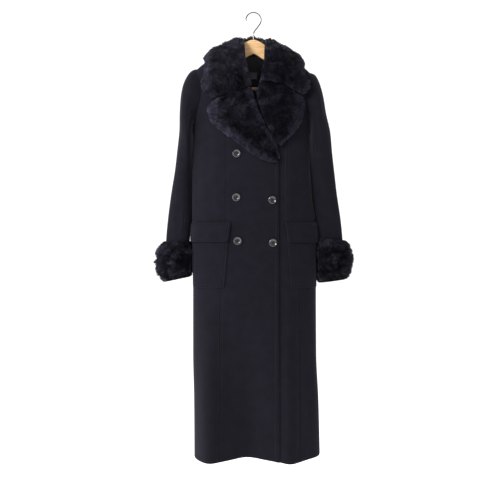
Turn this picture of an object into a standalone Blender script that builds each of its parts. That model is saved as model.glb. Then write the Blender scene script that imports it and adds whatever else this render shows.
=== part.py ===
"""A long double-breasted wool coat with a fur collar and fur cuffs, on a wooden hanger.

Metres, +Z up. The front faces -Y and +X is to the viewer's right, so the wearer's right
front, which laps over the other, lies on the -X side. The origin is the inside top of the
hook, where a rail or a nail carries the hanger.

All the cloth is cut from one form. At each height the form has a half width to the left and
to the right, a depth to the front and one to the back, and its section is a superellipse
through them. A panel is a range of that form between two seams, given a wall. A pocket, a
flap, a lapel and a button lie on the form, moved out.
"""
import math
from collections import namedtuple

import bmesh
import bpy
from mathutils import Vector

COLLECTION = "fur_trimmed_coat"

# Cloth
WALL = 0.003
SEAM = 0.0003
ARMHOLE_GAP = 0.0007
EASE = 0.0004
CUFF_EASE = 0.0008
LAPEL_EASE = 0.0009
LINING_EASE = 0.0009
LINING_HALF = 0.046
PATCH_EASE = 0.0007
ROUNDNESS = 2.3

# Heights of the main lines, measured down from the hang point
ARMPIT_Z = -0.372
BREAK_Z = -0.476
HEM_Z = -1.3655
SHOULDER_TIP = 0.172
NECK_POINT = 0.056
BACK_NECK_Z = -0.119
ROWS_ABOVE = 8
LEVELS_BELOW = [-0.425, BREAK_Z, -0.55, -0.63, -0.71, -0.79, -0.87, -0.96, -1.05, -1.14,
                -1.22, -1.30]

# Lap of the double-breasted front
FRONT_EDGE = 0.0757
UNDER_EDGE = -0.0730
LAP_COLUMNS = 10
LAP_INSET = 0.0045

# Wood hanger and wire hook
WIRE = 0.0037
HOOK_RADIUS = 0.0234
HANGER_TILT = 0.035
ARM_THICKNESS = 0.012
BAR_DIAMETER = 0.0095
BAR_Z = -0.2345
BAR_SEAT = 0.0003

# Fur
COLLAR_PILE = 0.026
LAPEL_PILE = 0.022
CUFF_PILE = 0.029

# Buttons
BUTTON_DIAMETER = 0.0237
BUTTON_HEIGHT = 0.0046

# The form, from the top of the shoulders to below the hem
Level = namedtuple("Level", "z left right front back")
LEVELS = [
    Level(z=-0.094, left=0.024, right=0.018, front=0.010, back=0.009),
    Level(z=-0.105, left=0.0565, right=0.048, front=0.019, back=0.017),
    Level(z=-0.115, left=0.080, right=0.069, front=0.027, back=0.024),
    Level(z=-0.125, left=0.101, right=0.088, front=0.034, back=0.030),
    Level(z=-0.140, left=0.127, right=0.114, front=0.042, back=0.037),
    Level(z=-0.155, left=0.149, right=0.1355, front=0.048, back=0.043),
    Level(z=-0.170, left=0.168, right=0.1545, front=0.053, back=0.048),
    Level(z=-0.185, left=0.181, right=0.172, front=0.057, back=0.053),
    Level(z=-0.200, left=0.187, right=0.1825, front=0.061, back=0.057),
    Level(z=-0.240, left=0.189, right=0.186, front=0.068, back=0.066),
    Level(z=-0.310, left=0.188, right=0.179, front=0.077, back=0.075),
    Level(z=-0.372, left=0.187, right=0.173, front=0.083, back=0.080),
    Level(z=-0.450, left=0.188, right=0.173, front=0.087, back=0.082),
    Level(z=-0.550, left=0.189, right=0.178, front=0.086, back=0.080),
    Level(z=-0.670, left=0.190, right=0.193, front=0.087, back=0.082),
    Level(z=-0.860, left=0.187, right=0.193, front=0.089, back=0.085),
    Level(z=-1.050, left=0.187, right=0.194, front=0.085, back=0.087),
    Level(z=-1.200, left=0.184, right=0.201, front=0.081, back=0.088),
    Level(z=-1.400, left=0.183, right=0.206, front=0.077, back=0.088),
]

# Vertical folds of the skirt: each grows from its top to its full depth at the hem
Fold = namedtuple("Fold", "face x width top depth")
FOLDS = [
    Fold(face="front", x=-0.142, width=0.040, top=-0.80, depth=0.040),
    Fold(face="front", x=-0.020, width=0.055, top=-0.86, depth=-0.032),
    Fold(face="front", x=0.112, width=0.040, top=-0.74, depth=0.024),
    Fold(face="back", x=-0.125, width=0.035, top=-0.70, depth=0.020),
    Fold(face="back", x=-0.055, width=0.030, top=-0.62, depth=-0.014),
    Fold(face="back", x=0.010, width=0.034, top=-0.66, depth=0.016),
    Fold(face="back", x=0.072, width=0.030, top=-0.58, depth=-0.016),
    Fold(face="back", x=0.135, width=0.036, top=-0.72, depth=0.020),
]

# How far the hem drops or lifts from its mean height, across the front
HemPoint = namedtuple("HemPoint", "x drop")
HEM = [
    HemPoint(x=-0.190, drop=0.007),
    HemPoint(x=-0.140, drop=0.004),
    HemPoint(x=-0.075, drop=0.001),
    HemPoint(x=-0.020, drop=-0.003),
    HemPoint(x=0.050, drop=0.000),
    HemPoint(x=0.112, drop=0.004),
    HemPoint(x=0.165, drop=0.001),
    HemPoint(x=0.206, drop=-0.001),
]

# Armhole: share of the form's half width that is left, from shoulder tip to armpit
ArmholePoint = namedtuple("ArmholePoint", "share cut")
ARMHOLE = [
    ArmholePoint(share=0.00, cut=1.000),
    ArmholePoint(share=0.10, cut=0.935),
    ArmholePoint(share=0.25, cut=0.868),
    ArmholePoint(share=0.41, cut=0.846),
    ArmholePoint(share=0.56, cut=0.872),
    ArmholePoint(share=0.70, cut=0.922),
    ArmholePoint(share=0.86, cut=0.973),
    ArmholePoint(share=1.00, cut=1.000),
]

# Seam lines and front edges of the fronts, by height
Line = namedtuple("Line", "z x")
RIGHT_PRINCESS = [Line(-0.10, -0.118), Line(-0.20, -0.104), Line(-0.30, -0.091),
                  Line(-0.42, -0.0848), Line(-0.63, -0.0847), Line(-0.75, -0.093),
                  Line(-0.87, -0.1005), Line(-1.18, -0.102), Line(-1.38, -0.108)]
LEFT_PRINCESS = [Line(-0.10, 0.118), Line(-0.20, 0.109), Line(-0.30, 0.102),
                 Line(-0.42, 0.0997), Line(-0.63, 0.0996), Line(-0.75, 0.118),
                 Line(-0.87, 0.1350), Line(-1.18, 0.1375), Line(-1.38, 0.137)]
RIGHT_NECKLINE = [Line(-0.10, -0.058), Line(-0.15, -0.044), Line(-0.20, -0.030),
                  Line(-0.267, -0.010), Line(-0.307, 0.003), Line(-0.360, 0.024),
                  Line(-0.418, 0.054), Line(-0.455, 0.071), Line(BREAK_Z, FRONT_EDGE)]
LEFT_NECKLINE = [Line(-0.10, 0.056), Line(-0.15, 0.046), Line(-0.20, 0.034),
                 Line(-0.267, 0.012), Line(-0.307, -0.001), Line(-0.360, -0.022),
                 Line(-0.418, -0.052), Line(-0.455, -0.068), Line(BREAK_Z, UNDER_EDGE)]

# Sleeve rings: outermost and innermost point of each, and its reach to front and back
Ring = namedtuple("Ring", "out_x out_z in_x in_z front back in_y")
RIGHT_SLEEVE = [
    Ring(-0.1900, -0.1830, -0.1890, -0.3800, 0.052, 0.050, 0.000),
    Ring(-0.2050, -0.1980, -0.1890, -0.3910, 0.058, 0.056, 0.003),
    Ring(-0.2175, -0.2260, -0.1890, -0.4040, 0.063, 0.061, 0.007),
    Ring(-0.2245, -0.2640, -0.1890, -0.4180, 0.066, 0.065, 0.011),
    Ring(-0.2278, -0.3150, -0.1890, -0.4330, 0.066, 0.068, 0.015),
    Ring(-0.2290, -0.3700, -0.1890, -0.4500, 0.064, 0.070, 0.018),
    Ring(-0.2360, -0.4330, -0.1892, -0.4740, 0.059, 0.071, 0.020),
    Ring(-0.2433, -0.4929, -0.1896, -0.5060, 0.052, 0.071, 0.020),
    Ring(-0.2550, -0.5640, -0.1902, -0.5690, 0.045, 0.071, 0.018),
    Ring(-0.2651, -0.6417, -0.1908, -0.6430, 0.037, 0.071, 0.009),
    Ring(-0.2712, -0.7130, -0.1990, -0.7130, 0.030, 0.072, 0.000),
    Ring(-0.2740, -0.8120, -0.2010, -0.8120, 0.026, 0.074, 0.000),
]
LEFT_SLEEVE = [
    Ring(0.1890, -0.1960, 0.1750, -0.3800, 0.052, 0.050, 0.000),
    Ring(0.2000, -0.2110, 0.1750, -0.3910, 0.058, 0.056, 0.003),
    Ring(0.2085, -0.2350, 0.1750, -0.4040, 0.063, 0.061, 0.007),
    Ring(0.2160, -0.2660, 0.1749, -0.4180, 0.066, 0.065, 0.011),
    Ring(0.2240, -0.3150, 0.1747, -0.4330, 0.066, 0.068, 0.015),
    Ring(0.2365, -0.3700, 0.1746, -0.4500, 0.064, 0.070, 0.018),
    Ring(0.2425, -0.4330, 0.1752, -0.4740, 0.059, 0.071, 0.020),
    Ring(0.2495, -0.4929, 0.1768, -0.5060, 0.052, 0.071, 0.020),
    Ring(0.2580, -0.5640, 0.1814, -0.5690, 0.045, 0.071, 0.018),
    Ring(0.2697, -0.6417, 0.1914, -0.6430, 0.037, 0.071, 0.004),
    Ring(0.2765, -0.7160, 0.2030, -0.7160, 0.030, 0.072, 0.000),
    Ring(0.2800, -0.8120, 0.2050, -0.8120, 0.026, 0.074, 0.000),
]

# Collar sections from the middle of the back to the gorge: the foot of the stand inside the
# neck, the edge of the fall, and how thick the pile is
Section = namedtuple("Section", "foot_x foot_y foot_z edge_x edge_y edge_z pile lift")
RIGHT_COLLAR = [
    Section(0.000, 0.013, -0.084, 0.000, 0.074, -0.205, 0.94, 0.75),
    Section(-0.020, 0.012, -0.084, -0.048, 0.073, -0.204, 0.94, 0.78),
    Section(-0.030, 0.008, -0.082, -0.092, 0.064, -0.194, 0.94, 0.85),
    Section(-0.034, -0.001, -0.086, -0.118, 0.044, -0.180, 0.88, 0.85),
    Section(-0.031, -0.015, -0.089, -0.129, 0.014, -0.164, 0.62, 0.75),
    Section(-0.026, -0.030, -0.106, -0.137, -0.014, -0.173, 0.56, 0.55),
    Section(-0.0235, -0.044, -0.130, -0.147, -0.034, -0.198, 0.66, 0.35),
    Section(-0.0215, -0.056, -0.158, -0.157, -0.048, -0.224, 0.84, 0.20),
    Section(-0.0165, -0.066, -0.187, -0.158, -0.056, -0.247, 1.00, 0.10),
    Section(-0.0105, -0.072, -0.216, -0.149, -0.060, -0.264, 1.00, 0.05),
    Section(-0.0040, -0.076, -0.243, -0.126, -0.062, -0.283, 1.00, 0.00),
]
LEFT_COLLAR = [
    Section(0.000, 0.013, -0.084, 0.000, 0.074, -0.205, 0.94, 0.75),
    Section(0.020, 0.012, -0.085, 0.048, 0.073, -0.205, 0.94, 0.78),
    Section(0.033, 0.008, -0.084, 0.092, 0.064, -0.197, 0.94, 0.84),
    Section(0.036, -0.001, -0.091, 0.120, 0.044, -0.185, 0.84, 0.80),
    Section(0.034, -0.015, -0.096, 0.134, 0.014, -0.174, 0.60, 0.72),
    Section(0.031, -0.030, -0.110, 0.142, -0.014, -0.184, 0.56, 0.55),
    Section(0.029, -0.044, -0.133, 0.152, -0.034, -0.201, 0.66, 0.35),
    Section(0.028, -0.056, -0.160, 0.163, -0.048, -0.222, 0.86, 0.20),
    Section(0.0255, -0.066, -0.186, 0.168, -0.056, -0.241, 1.00, 0.10),
    Section(0.0200, -0.072, -0.213, 0.164, -0.060, -0.257, 1.00, 0.05),
    Section(0.0125, -0.076, -0.243, 0.150, -0.062, -0.271, 1.00, 0.00),
]

# How far the gorge seam, where collar meets lapel, arches above a straight line
RIGHT_GORGE_ARCH = 0.000
LEFT_GORGE_ARCH = 0.022

# Lapel outlines as seen from the front: the roll side and the free edge, from gorge to tip
Seen = namedtuple("Seen", "x z")
RIGHT_ROLL = [Seen(-0.0040, -0.2450), Seen(0.0020, -0.2680), Seen(0.0125, -0.3060),
              Seen(0.0330, -0.3570), Seen(0.0620, -0.4160), Seen(0.0780, -0.4560)]
RIGHT_LAPEL_EDGE = [Seen(-0.1220, -0.2880), Seen(-0.1340, -0.2990), Seen(-0.1400, -0.3160),
                    Seen(-0.1340, -0.3430), Seen(-0.1160, -0.3650), Seen(-0.0640, -0.4060),
                    Seen(-0.0080, -0.4490), Seen(0.0380, -0.4710), Seen(0.0690, -0.4740)]
LEFT_ROLL = [Seen(0.0125, -0.2450), Seen(0.0070, -0.2660), Seen(0.0145, -0.3040),
             Seen(0.0350, -0.3550), Seen(0.0600, -0.4070), Seen(0.0700, -0.4190)]
LEFT_LAPEL_EDGE = [Seen(0.1430, -0.2760), Seen(0.1520, -0.2870), Seen(0.1545, -0.3050),
                   Seen(0.1490, -0.3290), Seen(0.1380, -0.3540), Seen(0.1190, -0.3810),
                   Seen(0.0980, -0.4030), Seen(0.0800, -0.4220)]

# Pockets and flaps: x of the edge near the front at top and bottom, the top, the height
# below which a flap hangs over its pocket, and the bottom
Patch = namedtuple("Patch", "name face_top face_bottom top fold bottom")
POCKETS = [
    Patch("right_pocket", -0.0710, -0.0868, -0.6680, -0.6900, -0.8480),
    Patch("left_pocket", 0.0970, 0.1105, -0.6680, -0.6900, -0.8480),
]
FLAPS = [
    Patch("right_pocket_flap", -0.0672, -0.0756, -0.6490, -0.6600, -0.7100),
    Patch("left_pocket_flap", 0.0920, 0.1014, -0.6500, -0.6600, -0.7110),
]

# Buttons: middle, and how far the flat back stands off the form
Button = namedtuple("Button", "name x z rise")
BUTTONS = [
    Button("button_top_right", -0.0510, -0.4471, 0.0001),
    Button("button_middle_right", -0.0519, -0.5771, 0.0005),
    Button("button_middle_left", 0.0543, -0.5851, 0.0006),
    Button("button_bottom_right", -0.0480, -0.7064, 0.0005),
    Button("button_bottom_left", 0.0563, -0.7121, 0.0005),
]

# Hanger arms from the middle outwards: top and bottom edge before the tilt
Arm = namedtuple("Arm", "x top bottom")
ARMS = [
    Arm(x=0.0000, top=-0.0834, bottom=-0.1268),
    Arm(x=0.0120, top=-0.0865, bottom=-0.1325),
    Arm(x=0.0260, top=-0.0938, bottom=-0.1410),
    Arm(x=0.0500, top=-0.1084, bottom=-0.1530),
    Arm(x=0.0850, top=-0.1258, bottom=-0.1680),
    Arm(x=0.1200, top=-0.1460, bottom=-0.1860),
    Arm(x=0.1500, top=-0.1680, bottom=-0.2120),
    Arm(x=0.1512, top=-0.1690, bottom=-0.2430),
    Arm(x=0.1640, top=-0.1800, bottom=-0.2430),
    Arm(x=0.1710, top=-0.1890, bottom=-0.2320),
]


def slope_between(before, after):
    """Slope at a row that keeps the curve from swinging past its rows."""
    if before * after <= 0:
        return 0.0
    return 2 * before * after / (before + after)


def read(table, key, column, at):
    """Value of a table's column at a place along its key, on a smooth curve through the rows."""
    rows = sorted(table, key=lambda row: getattr(row, key))
    places = [getattr(row, key) for row in rows]
    values = [getattr(row, column) for row in rows]
    if at <= places[0]:
        return values[0]
    if at >= places[-1]:
        return values[-1]
    i = max(k for k in range(len(rows) - 1) if places[k] <= at)
    steps = [(values[k + 1] - values[k]) / (places[k + 1] - places[k])
             for k in range(len(rows) - 1)]
    start = slope_between(steps[i - 1], steps[i]) if i > 0 else steps[i]
    end = slope_between(steps[i], steps[i + 1]) if i + 1 < len(steps) else steps[i]
    span = places[i + 1] - places[i]
    t = (at - places[i]) / span
    return ((2 * t**3 - 3 * t**2 + 1) * values[i] + (t**3 - 2 * t**2 + t) * span * start
            + (3 * t**2 - 2 * t**3) * values[i + 1] + (t**3 - t**2) * span * end)


def walk(points, share):
    """Point at a share of the length of a polyline, rounded at its corners."""
    lengths = [0.0]
    for a, b in zip(points, points[1:]):
        lengths.append(lengths[-1] + (b - a).length)
    target = share * lengths[-1]
    i = max(k for k in range(len(points) - 1) if lengths[k] <= target + 1e-9)
    return at_row(points, i + (target - lengths[i]) / (lengths[i + 1] - lengths[i]))


def at_row(points, place):
    """Point of a smooth curve that passes the first row at 0, the second at 1 and so on."""
    i = min(int(place), len(points) - 2)
    t = place - i
    a, b = points[i], points[i + 1]
    before = points[i - 1] if i > 0 else a - (b - a)
    after = points[i + 2] if i + 2 < len(points) else b + (b - a)
    return 0.5 * (2 * a + (b - before) * t + (2 * before - 5 * a + 4 * b - after) * t**2
                  + (3 * a - before - 3 * b + after) * t**3)


def mix(a, b, t):
    return a + (b - a) * t


def ease(t):
    """Smooth step from 0 to 1."""
    t = min(1.0, max(0.0, t))
    return t * t * (3 - 2 * t)


def half_width(x, z):
    return read(LEVELS, "z", "left" if x < 0 else "right", z)


def depth(face, x, z):
    """Depth of the form at its middle, with the folds that pass over x."""
    total = read(LEVELS, "z", face, z)
    for fold in FOLDS:
        if fold.face == face and z < fold.top:
            reach = ease((fold.top - z) / (fold.top - HEM_Z))
            total += fold.depth * reach * math.exp(-((x - fold.x) / fold.width) ** 2)
    return total


def skin(face, x, z):
    """Point of the form's outer surface, front or back, at x and z."""
    share = min(1.0, abs(x) / half_width(x, z))
    out = depth(face, x, z) * (1 - share ** ROUNDNESS) ** (1 / ROUNDNESS)
    return Vector((x, -out if face == "front" else out, z))


def form_value(p):
    """Below 0 inside the form and above 0 outside."""
    face = "front" if p.y < 0 else "back"
    return ((abs(p.x) / half_width(p.x, p.z)) ** ROUNDNESS
            + (abs(p.y) / depth(face, p.x, p.z)) ** ROUNDNESS - 1)


def form_normal(p):
    """Outward direction of the form at a point near its surface."""
    h = 0.0004
    slope = Vector([form_value(p + step) - form_value(p - step)
                    for step in (Vector((h, 0, 0)), Vector((0, h, 0)), Vector((0, 0, h)))])
    if slope.length < 1e-9:
        return Vector((0, -1 if p.y < 0 else 1, 0))
    return slope.normalized()


def form_gap(p):
    """Rough distance from the form's surface, above 0 outside."""
    h = 0.0004
    slope = Vector([(form_value(p + step) - form_value(p - step)) / (2 * h)
                    for step in (Vector((h, 0, 0)), Vector((0, h, 0)), Vector((0, 0, h)))])
    return form_value(p) / max(slope.length, 1e-6)


def push_out(p, gap):
    """Move a point out of the form until it clears it by the gap."""
    moved = p.copy()
    for _ in range(12):
        short = gap - form_gap(moved)
        if short <= 0.00005:
            break
        moved += form_normal(moved) * short * 0.9
    return moved


def ridge(x):
    """Height of the shoulder line, where front and back meet."""
    low, high = -0.30, LEVELS[0].z
    for _ in range(30):
        middle = 0.5 * (low + high)
        if half_width(x, middle) > abs(x):
            low = middle
        else:
            high = middle
    return high


def armhole_x(side, z):
    """Where the armhole edge lies: level with its tip above it, the side seam past its end."""
    tip = ridge(side * SHOULDER_TIP)
    if z > tip:
        return side * SHOULDER_TIP
    share = (tip - z) / (tip - ARMPIT_Z)
    return side * read(ARMHOLE, "share", "cut", share) * half_width(side, z)


def hem_z(x):
    return HEM_Z - read(HEM, "x", "drop", x)


def make_material(name, color, roughness, metallic=0.0):
    material = bpy.data.materials.new(name)
    material.use_nodes = True
    shader = material.node_tree.nodes["Principled BSDF"]
    shader.inputs["Base Color"].default_value = (*color, 1.0)
    shader.inputs["Roughness"].default_value = roughness
    shader.inputs["Metallic"].default_value = metallic
    return material


def add_object(name, mesh, collection, material, smooth_angle=50):
    obj = bpy.data.objects.new(name, mesh)
    collection.objects.link(obj)
    mesh.materials.append(material)
    mesh.shade_smooth()
    mesh.set_sharp_from_angle(angle=math.radians(smooth_angle))
    return obj


def wall(name, near, far, collection, material, closed=False):
    """Solid between two grids of points, rows of equal length; closed joins the row ends."""
    mesh = bpy.data.meshes.new(name)
    bm = bmesh.new()
    rows, columns = len(near), len(near[0])
    sheets = [[[bm.verts.new(p) for p in row] for row in grid] for grid in (near, far)]
    last = columns if closed else columns - 1
    for sheet in sheets:
        for i in range(rows - 1):
            for j in range(last):
                k = (j + 1) % columns
                bm.faces.new((sheet[i][j], sheet[i][k], sheet[i + 1][k], sheet[i + 1][j]))
    inner, outer = sheets
    for i in (0, rows - 1):
        for j in range(last):
            k = (j + 1) % columns
            bm.faces.new((inner[i][j], inner[i][k], outer[i][k], outer[i][j]))
    if not closed:
        for j in (0, columns - 1):
            for i in range(rows - 1):
                bm.faces.new((inner[i][j], inner[i + 1][j], outer[i + 1][j], outer[i][j]))
    bmesh.ops.triangulate(bm, faces=bm.faces)
    bmesh.ops.recalc_face_normals(bm, faces=bm.faces)
    bm.to_mesh(mesh)
    bm.free()
    return add_object(name, mesh, collection, material)


def on_form(points, low, high):
    """Two grids, low and high above the form, from one grid of points on it."""
    normals = [[form_normal(p) for p in row] for row in points]
    near = [[p + n * low for p, n in zip(*pair)] for pair in zip(points, normals)]
    far = [[p + n * high for p, n in zip(*pair)] for pair in zip(points, normals)]
    return near, far


def row_heights(top):
    """Heights of a panel's rows under a point of its top edge, as a sleeve's loop spaces them."""
    above = [mix(top, ARMPIT_Z, 0.5 - 0.5 * math.cos(math.pi * i / ROWS_ABOVE))
             for i in range(ROWS_ABOVE + 1)]
    return above + LEVELS_BELOW


def top_edge(face, x):
    """Height of a panel's top edge: the shoulder seam, or the back's neckline."""
    if face == "back" and abs(x) < NECK_POINT:
        return mix(BACK_NECK_Z, ridge(math.copysign(NECK_POINT, x)), (x / NECK_POINT) ** 2)
    return ridge(x)


def panel_points(face, columns, hem=True):
    """Grid of points on the form; a column is a function of height that gives x."""
    grid = []
    tops = []
    for column in columns:
        x = column(-0.12)
        for _ in range(6):
            x = column(top_edge(face, x))
        tops.append(top_edge(face, x))
    side = -SEAM / 2 if face == "front" else SEAM / 2
    for i in range(ROWS_ABOVE + 1 + len(LEVELS_BELOW)):
        grid.append([])
        for column, top in zip(columns, tops):
            z = row_heights(top)[i]
            grid[-1].append(skin(face, column(z), z) + Vector((0, side, 0)))
    if hem:
        last = []
        for column in columns:
            x = column(HEM_Z)
            last.append(skin(face, x, hem_z(x)) + Vector((0, side, 0)))
        grid.append(last)
    return grid


def between(start, end, share):
    """Column at a share of the way between two edges, each a function of height."""
    return lambda z: mix(start(z), end(z), share)


def line(table, shift=0.0):
    return lambda z: read(table, "z", "x", z) + shift


def side_edge(side):
    return lambda z: armhole_x(side, z)


def side_shares(count):
    """Shares across a side panel, close together where the form turns back."""
    start = math.radians(26)
    low = math.sin(start) ** (2 / ROUNDNESS)
    shares = []
    for i in range(count + 1):
        angle = mix(start, math.pi / 2, i / count)
        shares.append((math.sin(angle) ** (2 / ROUNDNESS) - low) / (1 - low))
    return shares


def make_fronts(collection, material):
    """Centre fronts and side fronts; the wearer's right one laps over the left one."""
    half = SEAM / 2
    for name, side, princess, shift in (("right_side_front", -1, RIGHT_PRINCESS, -half),
                                        ("left_side_front", 1, LEFT_PRINCESS, half)):
        columns = side_columns(side, princess, shift)
        wall(name, *on_form(panel_points("front", columns), -WALL, 0.0), collection, material)

    lap = [mix(UNDER_EDGE, FRONT_EDGE, i / LAP_COLUMNS) for i in range(LAP_COLUMNS + 1)]
    seam_x = RIGHT_PRINCESS[4].x
    shares = [0.0] + [(x - seam_x) / (FRONT_EDGE - seam_x) for x in lap]
    columns = [between(line(RIGHT_PRINCESS, half), line(RIGHT_NECKLINE), s) for s in shares]
    wall("right_front", *on_form(panel_points("front", columns), -WALL, 0.0),
         collection, material)

    seam_x = LEFT_PRINCESS[4].x
    shares = [(x - UNDER_EDGE) / (seam_x - UNDER_EDGE) for x in lap] + [1.0]
    columns = [between(line(LEFT_NECKLINE), line(LEFT_PRINCESS, -half), s) for s in shares]
    points = panel_points("front", columns)
    for row in points:
        for p in row:
            p.y += LAP_INSET * ease((0.103 - p.x) / 0.022) * ease((-0.20 - p.z) / 0.05)
    wall("left_front", *on_form(points, -WALL, 0.0), collection, material)


def make_back(collection, material):
    """The whole back, from armhole to armhole, with its neckline under the collar."""
    count = 18
    columns = []
    for i in range(count + 1):
        angle = mix(-math.pi / 2, math.pi / 2, i / count)
        share = math.copysign(abs(math.sin(angle)) ** (2 / ROUNDNESS), angle)
        columns.append(back_column(share))
    points = panel_points("back", columns)
    wall("back", *on_form(points, -WALL, 0.0), collection, material)


def back_column(share):
    edge = side_edge(-1 if share < 0 else 1)
    return lambda z: abs(share) * edge(z)


def armhole_loop(side, count):
    """Points of the armhole edge, from the shoulder tip down the front and up the back."""
    tip = ridge(side * SHOULDER_TIP)
    points, normals = [], []
    for i in range(count):
        angle = 2 * math.pi * i / count
        z = mix(ARMPIT_Z, tip, 0.5 + 0.5 * math.cos(angle))
        face = "front" if angle < math.pi else "back"
        p = skin(face, armhole_x(side, z), z)
        n = form_normal(p)
        points.append(p + Vector((side * ARMHOLE_GAP, 0, 0)))
        normals.append(n)
    return points, normals


def sleeve_loop(ring, side, count):
    """One ring of a sleeve, as a flattened loop between its outer and inner point."""
    loop = []
    outer = Vector((ring.out_x, 0, ring.out_z))
    inner = Vector((ring.in_x, ring.in_y, ring.in_z))
    for i in range(count):
        angle = 2 * math.pi * i / count
        across = 0.5 + 0.5 * math.copysign(abs(math.cos(angle)) ** 0.9, math.cos(angle))
        reach = ring.front if angle < math.pi else ring.back
        y = -reach * math.copysign(abs(math.sin(angle)) ** 0.85, math.sin(angle))
        loop.append(inner.lerp(outer, across) + Vector((0, y, 0)))
    return loop


def grid_normals(grid, closed):
    """Outward directions of a tube's grid, from its neighbouring points."""
    rows, columns = len(grid), len(grid[0])
    normals = []
    for i in range(rows):
        middle = sum(grid[i], Vector()) / columns
        line_normals = []
        for j in range(columns):
            down = grid[min(i + 1, rows - 1)][j] - grid[max(i - 1, 0)][j]
            if closed:
                along = grid[i][(j + 1) % columns] - grid[i][j - 1]
            else:
                along = grid[i][min(j + 1, columns - 1)] - grid[i][max(j - 1, 0)]
            n = along.cross(down).normalized()
            if n.dot(grid[i][j] - middle) < 0:
                n.negate()
            line_normals.append(n)
        normals.append(line_normals)
    return normals


def sleeve_grids(side, rings, count):
    """Outer and inner points of a whole sleeve."""
    start, start_normals = armhole_loop(side, count)
    outer = [start] + [sleeve_loop(ring, side, count) for ring in rings]
    normals = grid_normals(outer, True)
    for j, n in enumerate(start_normals):
        below = ease((-math.cos(2 * math.pi * j / count) - 0.2) / 0.6)
        normals[0][j] = n.lerp(normals[0][j], below).normalized()
    inner = [[p - n * WALL for p, n in zip(*pair)] for pair in zip(outer, normals)]
    return outer, inner


def make_sleeves(collection, material):
    """Two-piece sleeves: the upper one shows outside, the under one faces the body."""
    count = 2 * ROWS_ABOVE
    for name, side, rings in (("right", -1, RIGHT_SLEEVE), ("left", 1, LEFT_SLEEVE)):
        outer, inner = sleeve_grids(side, rings, count)
        first, last = 5, 11
        upper = [j % count for j in range(last, count + first + 1)]
        under = list(range(first, last + 1))
        for piece, picked, inwards in (("upper", upper, 1), ("under", under, -1)):
            grids = []
            for grid in (outer, inner):
                rows = []
                for row in grid:
                    cut = [row[j].copy() for j in picked]
                    cut[0] += (cut[1] - cut[0]).normalized() * SEAM
                    cut[-1] += (cut[-2] - cut[-1]).normalized() * SEAM
                    rows.append(cut)
                grids.append(rows)
            wall(f"{name}_sleeve_{piece}", grids[1], grids[0], collection, material)


def pile_profile(share, roundness=2.6):
    """How full the pile stands between two edges: thin at both and full between them."""
    return max(0.0, 1 - abs(2 * share - 1) ** roundness) ** (1 / 2.0)


def make_cuffs(collection, material):
    """Deep fur cuffs round the sleeve ends, pressed flat where they meet the coat."""
    count, levels = 2 * ROWS_ABOVE, 8
    top, bottom = -0.7090, -0.8330
    for name, side, rings in (("right_cuff", -1, RIGHT_SLEEVE), ("left_cuff", 1, LEFT_SLEEVE)):
        near, far = [], []
        for i in range(levels + 1):
            share = i / levels
            z = mix(top, bottom, 0.5 - 0.5 * math.cos(math.pi * share))
            ring = Ring(*[read(rings, "out_z", column, z) for column in Ring._fields])
            loop = sleeve_loop(ring._replace(out_z=z, in_z=z), side, count)
            fill = pile_profile((z - top) / (bottom - top))
            spread = grid_normals([loop, [p + Vector((0, 0, -0.01)) for p in loop]], True)[0]
            near.append([p + n * CUFF_EASE for p, n in zip(loop, spread)])
            row = []
            for p, n in zip(loop, spread):
                fur = p + n * (0.003 + CUFF_PILE * fill * mix(0.62, 1.0, 0.5 + 0.5 * n.x * side))
                row.append(keep_off_coat(fur, p + n * 0.0025))
            far.append(row)
        wall(name, near, far, collection, material, closed=True)


def keep_off_coat(p, least):
    """Hold a cuff's pile clear of the coat's side and the pocket on it."""
    cleared = push_out(p, 0.0085 if p.y < 0 else 0.0012)
    return cleared if (cleared - p).length < (least - p).length else least


def make_collar(collection, material):
    """One fur collar round the neck: a foot inside the neck, and a fall over the shoulders."""
    steps, stations = 10, 30
    rows = list(reversed(RIGHT_COLLAR)) + LEFT_COLLAR[1:]
    feet = [Vector((row.foot_x, row.foot_y, row.foot_z)) for row in rows]
    edges = [Vector((row.edge_x, row.edge_y, row.edge_z)) for row in rows]
    piles = [Vector((row.pile, row.lift, 0)) for row in rows]
    near, far = [], []
    for i in range(stations + 1):
        place = i / stations * (len(rows) - 1)
        foot, edge, pile = (at_row(points, place) for points in (feet, edges, piles))
        end = mix(0.80, 1.0, min(1.0, min(i, stations - i) / 2))
        low, high = [], []
        for j in range(steps + 1):
            share = 0.5 - 0.5 * math.cos(math.pi * j / steps)
            lifted = foot.lerp(edge, share)
            lifted.z += arch_at(i, stations) * math.sin(math.pi * share ** 0.75)
            near_ridge = 1 - ease(abs(lifted.y) / 0.05)
            base = push_out(lifted, mix(0.0009, 0.0042, near_ridge))
            up = form_normal(base).lerp(Vector((0, 0, 1)), pile.y * (1 - share))
            low.append(base)
            high.append(base + up.normalized() * (0.0035 + COLLAR_PILE * pile.x * end
                                                  * pile_profile(share)))
        near.append(low)
        far.append(high)
    wall("fur_collar", near, far, collection, material)


def arch_at(i, stations):
    """Arch of a collar section: that of the gorge seam at both ends, fading away from them."""
    from_end = min(i, stations - i) / 5
    return ease(1 - from_end) * (RIGHT_GORGE_ARCH if i < stations / 2 else LEFT_GORGE_ARCH)


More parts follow.
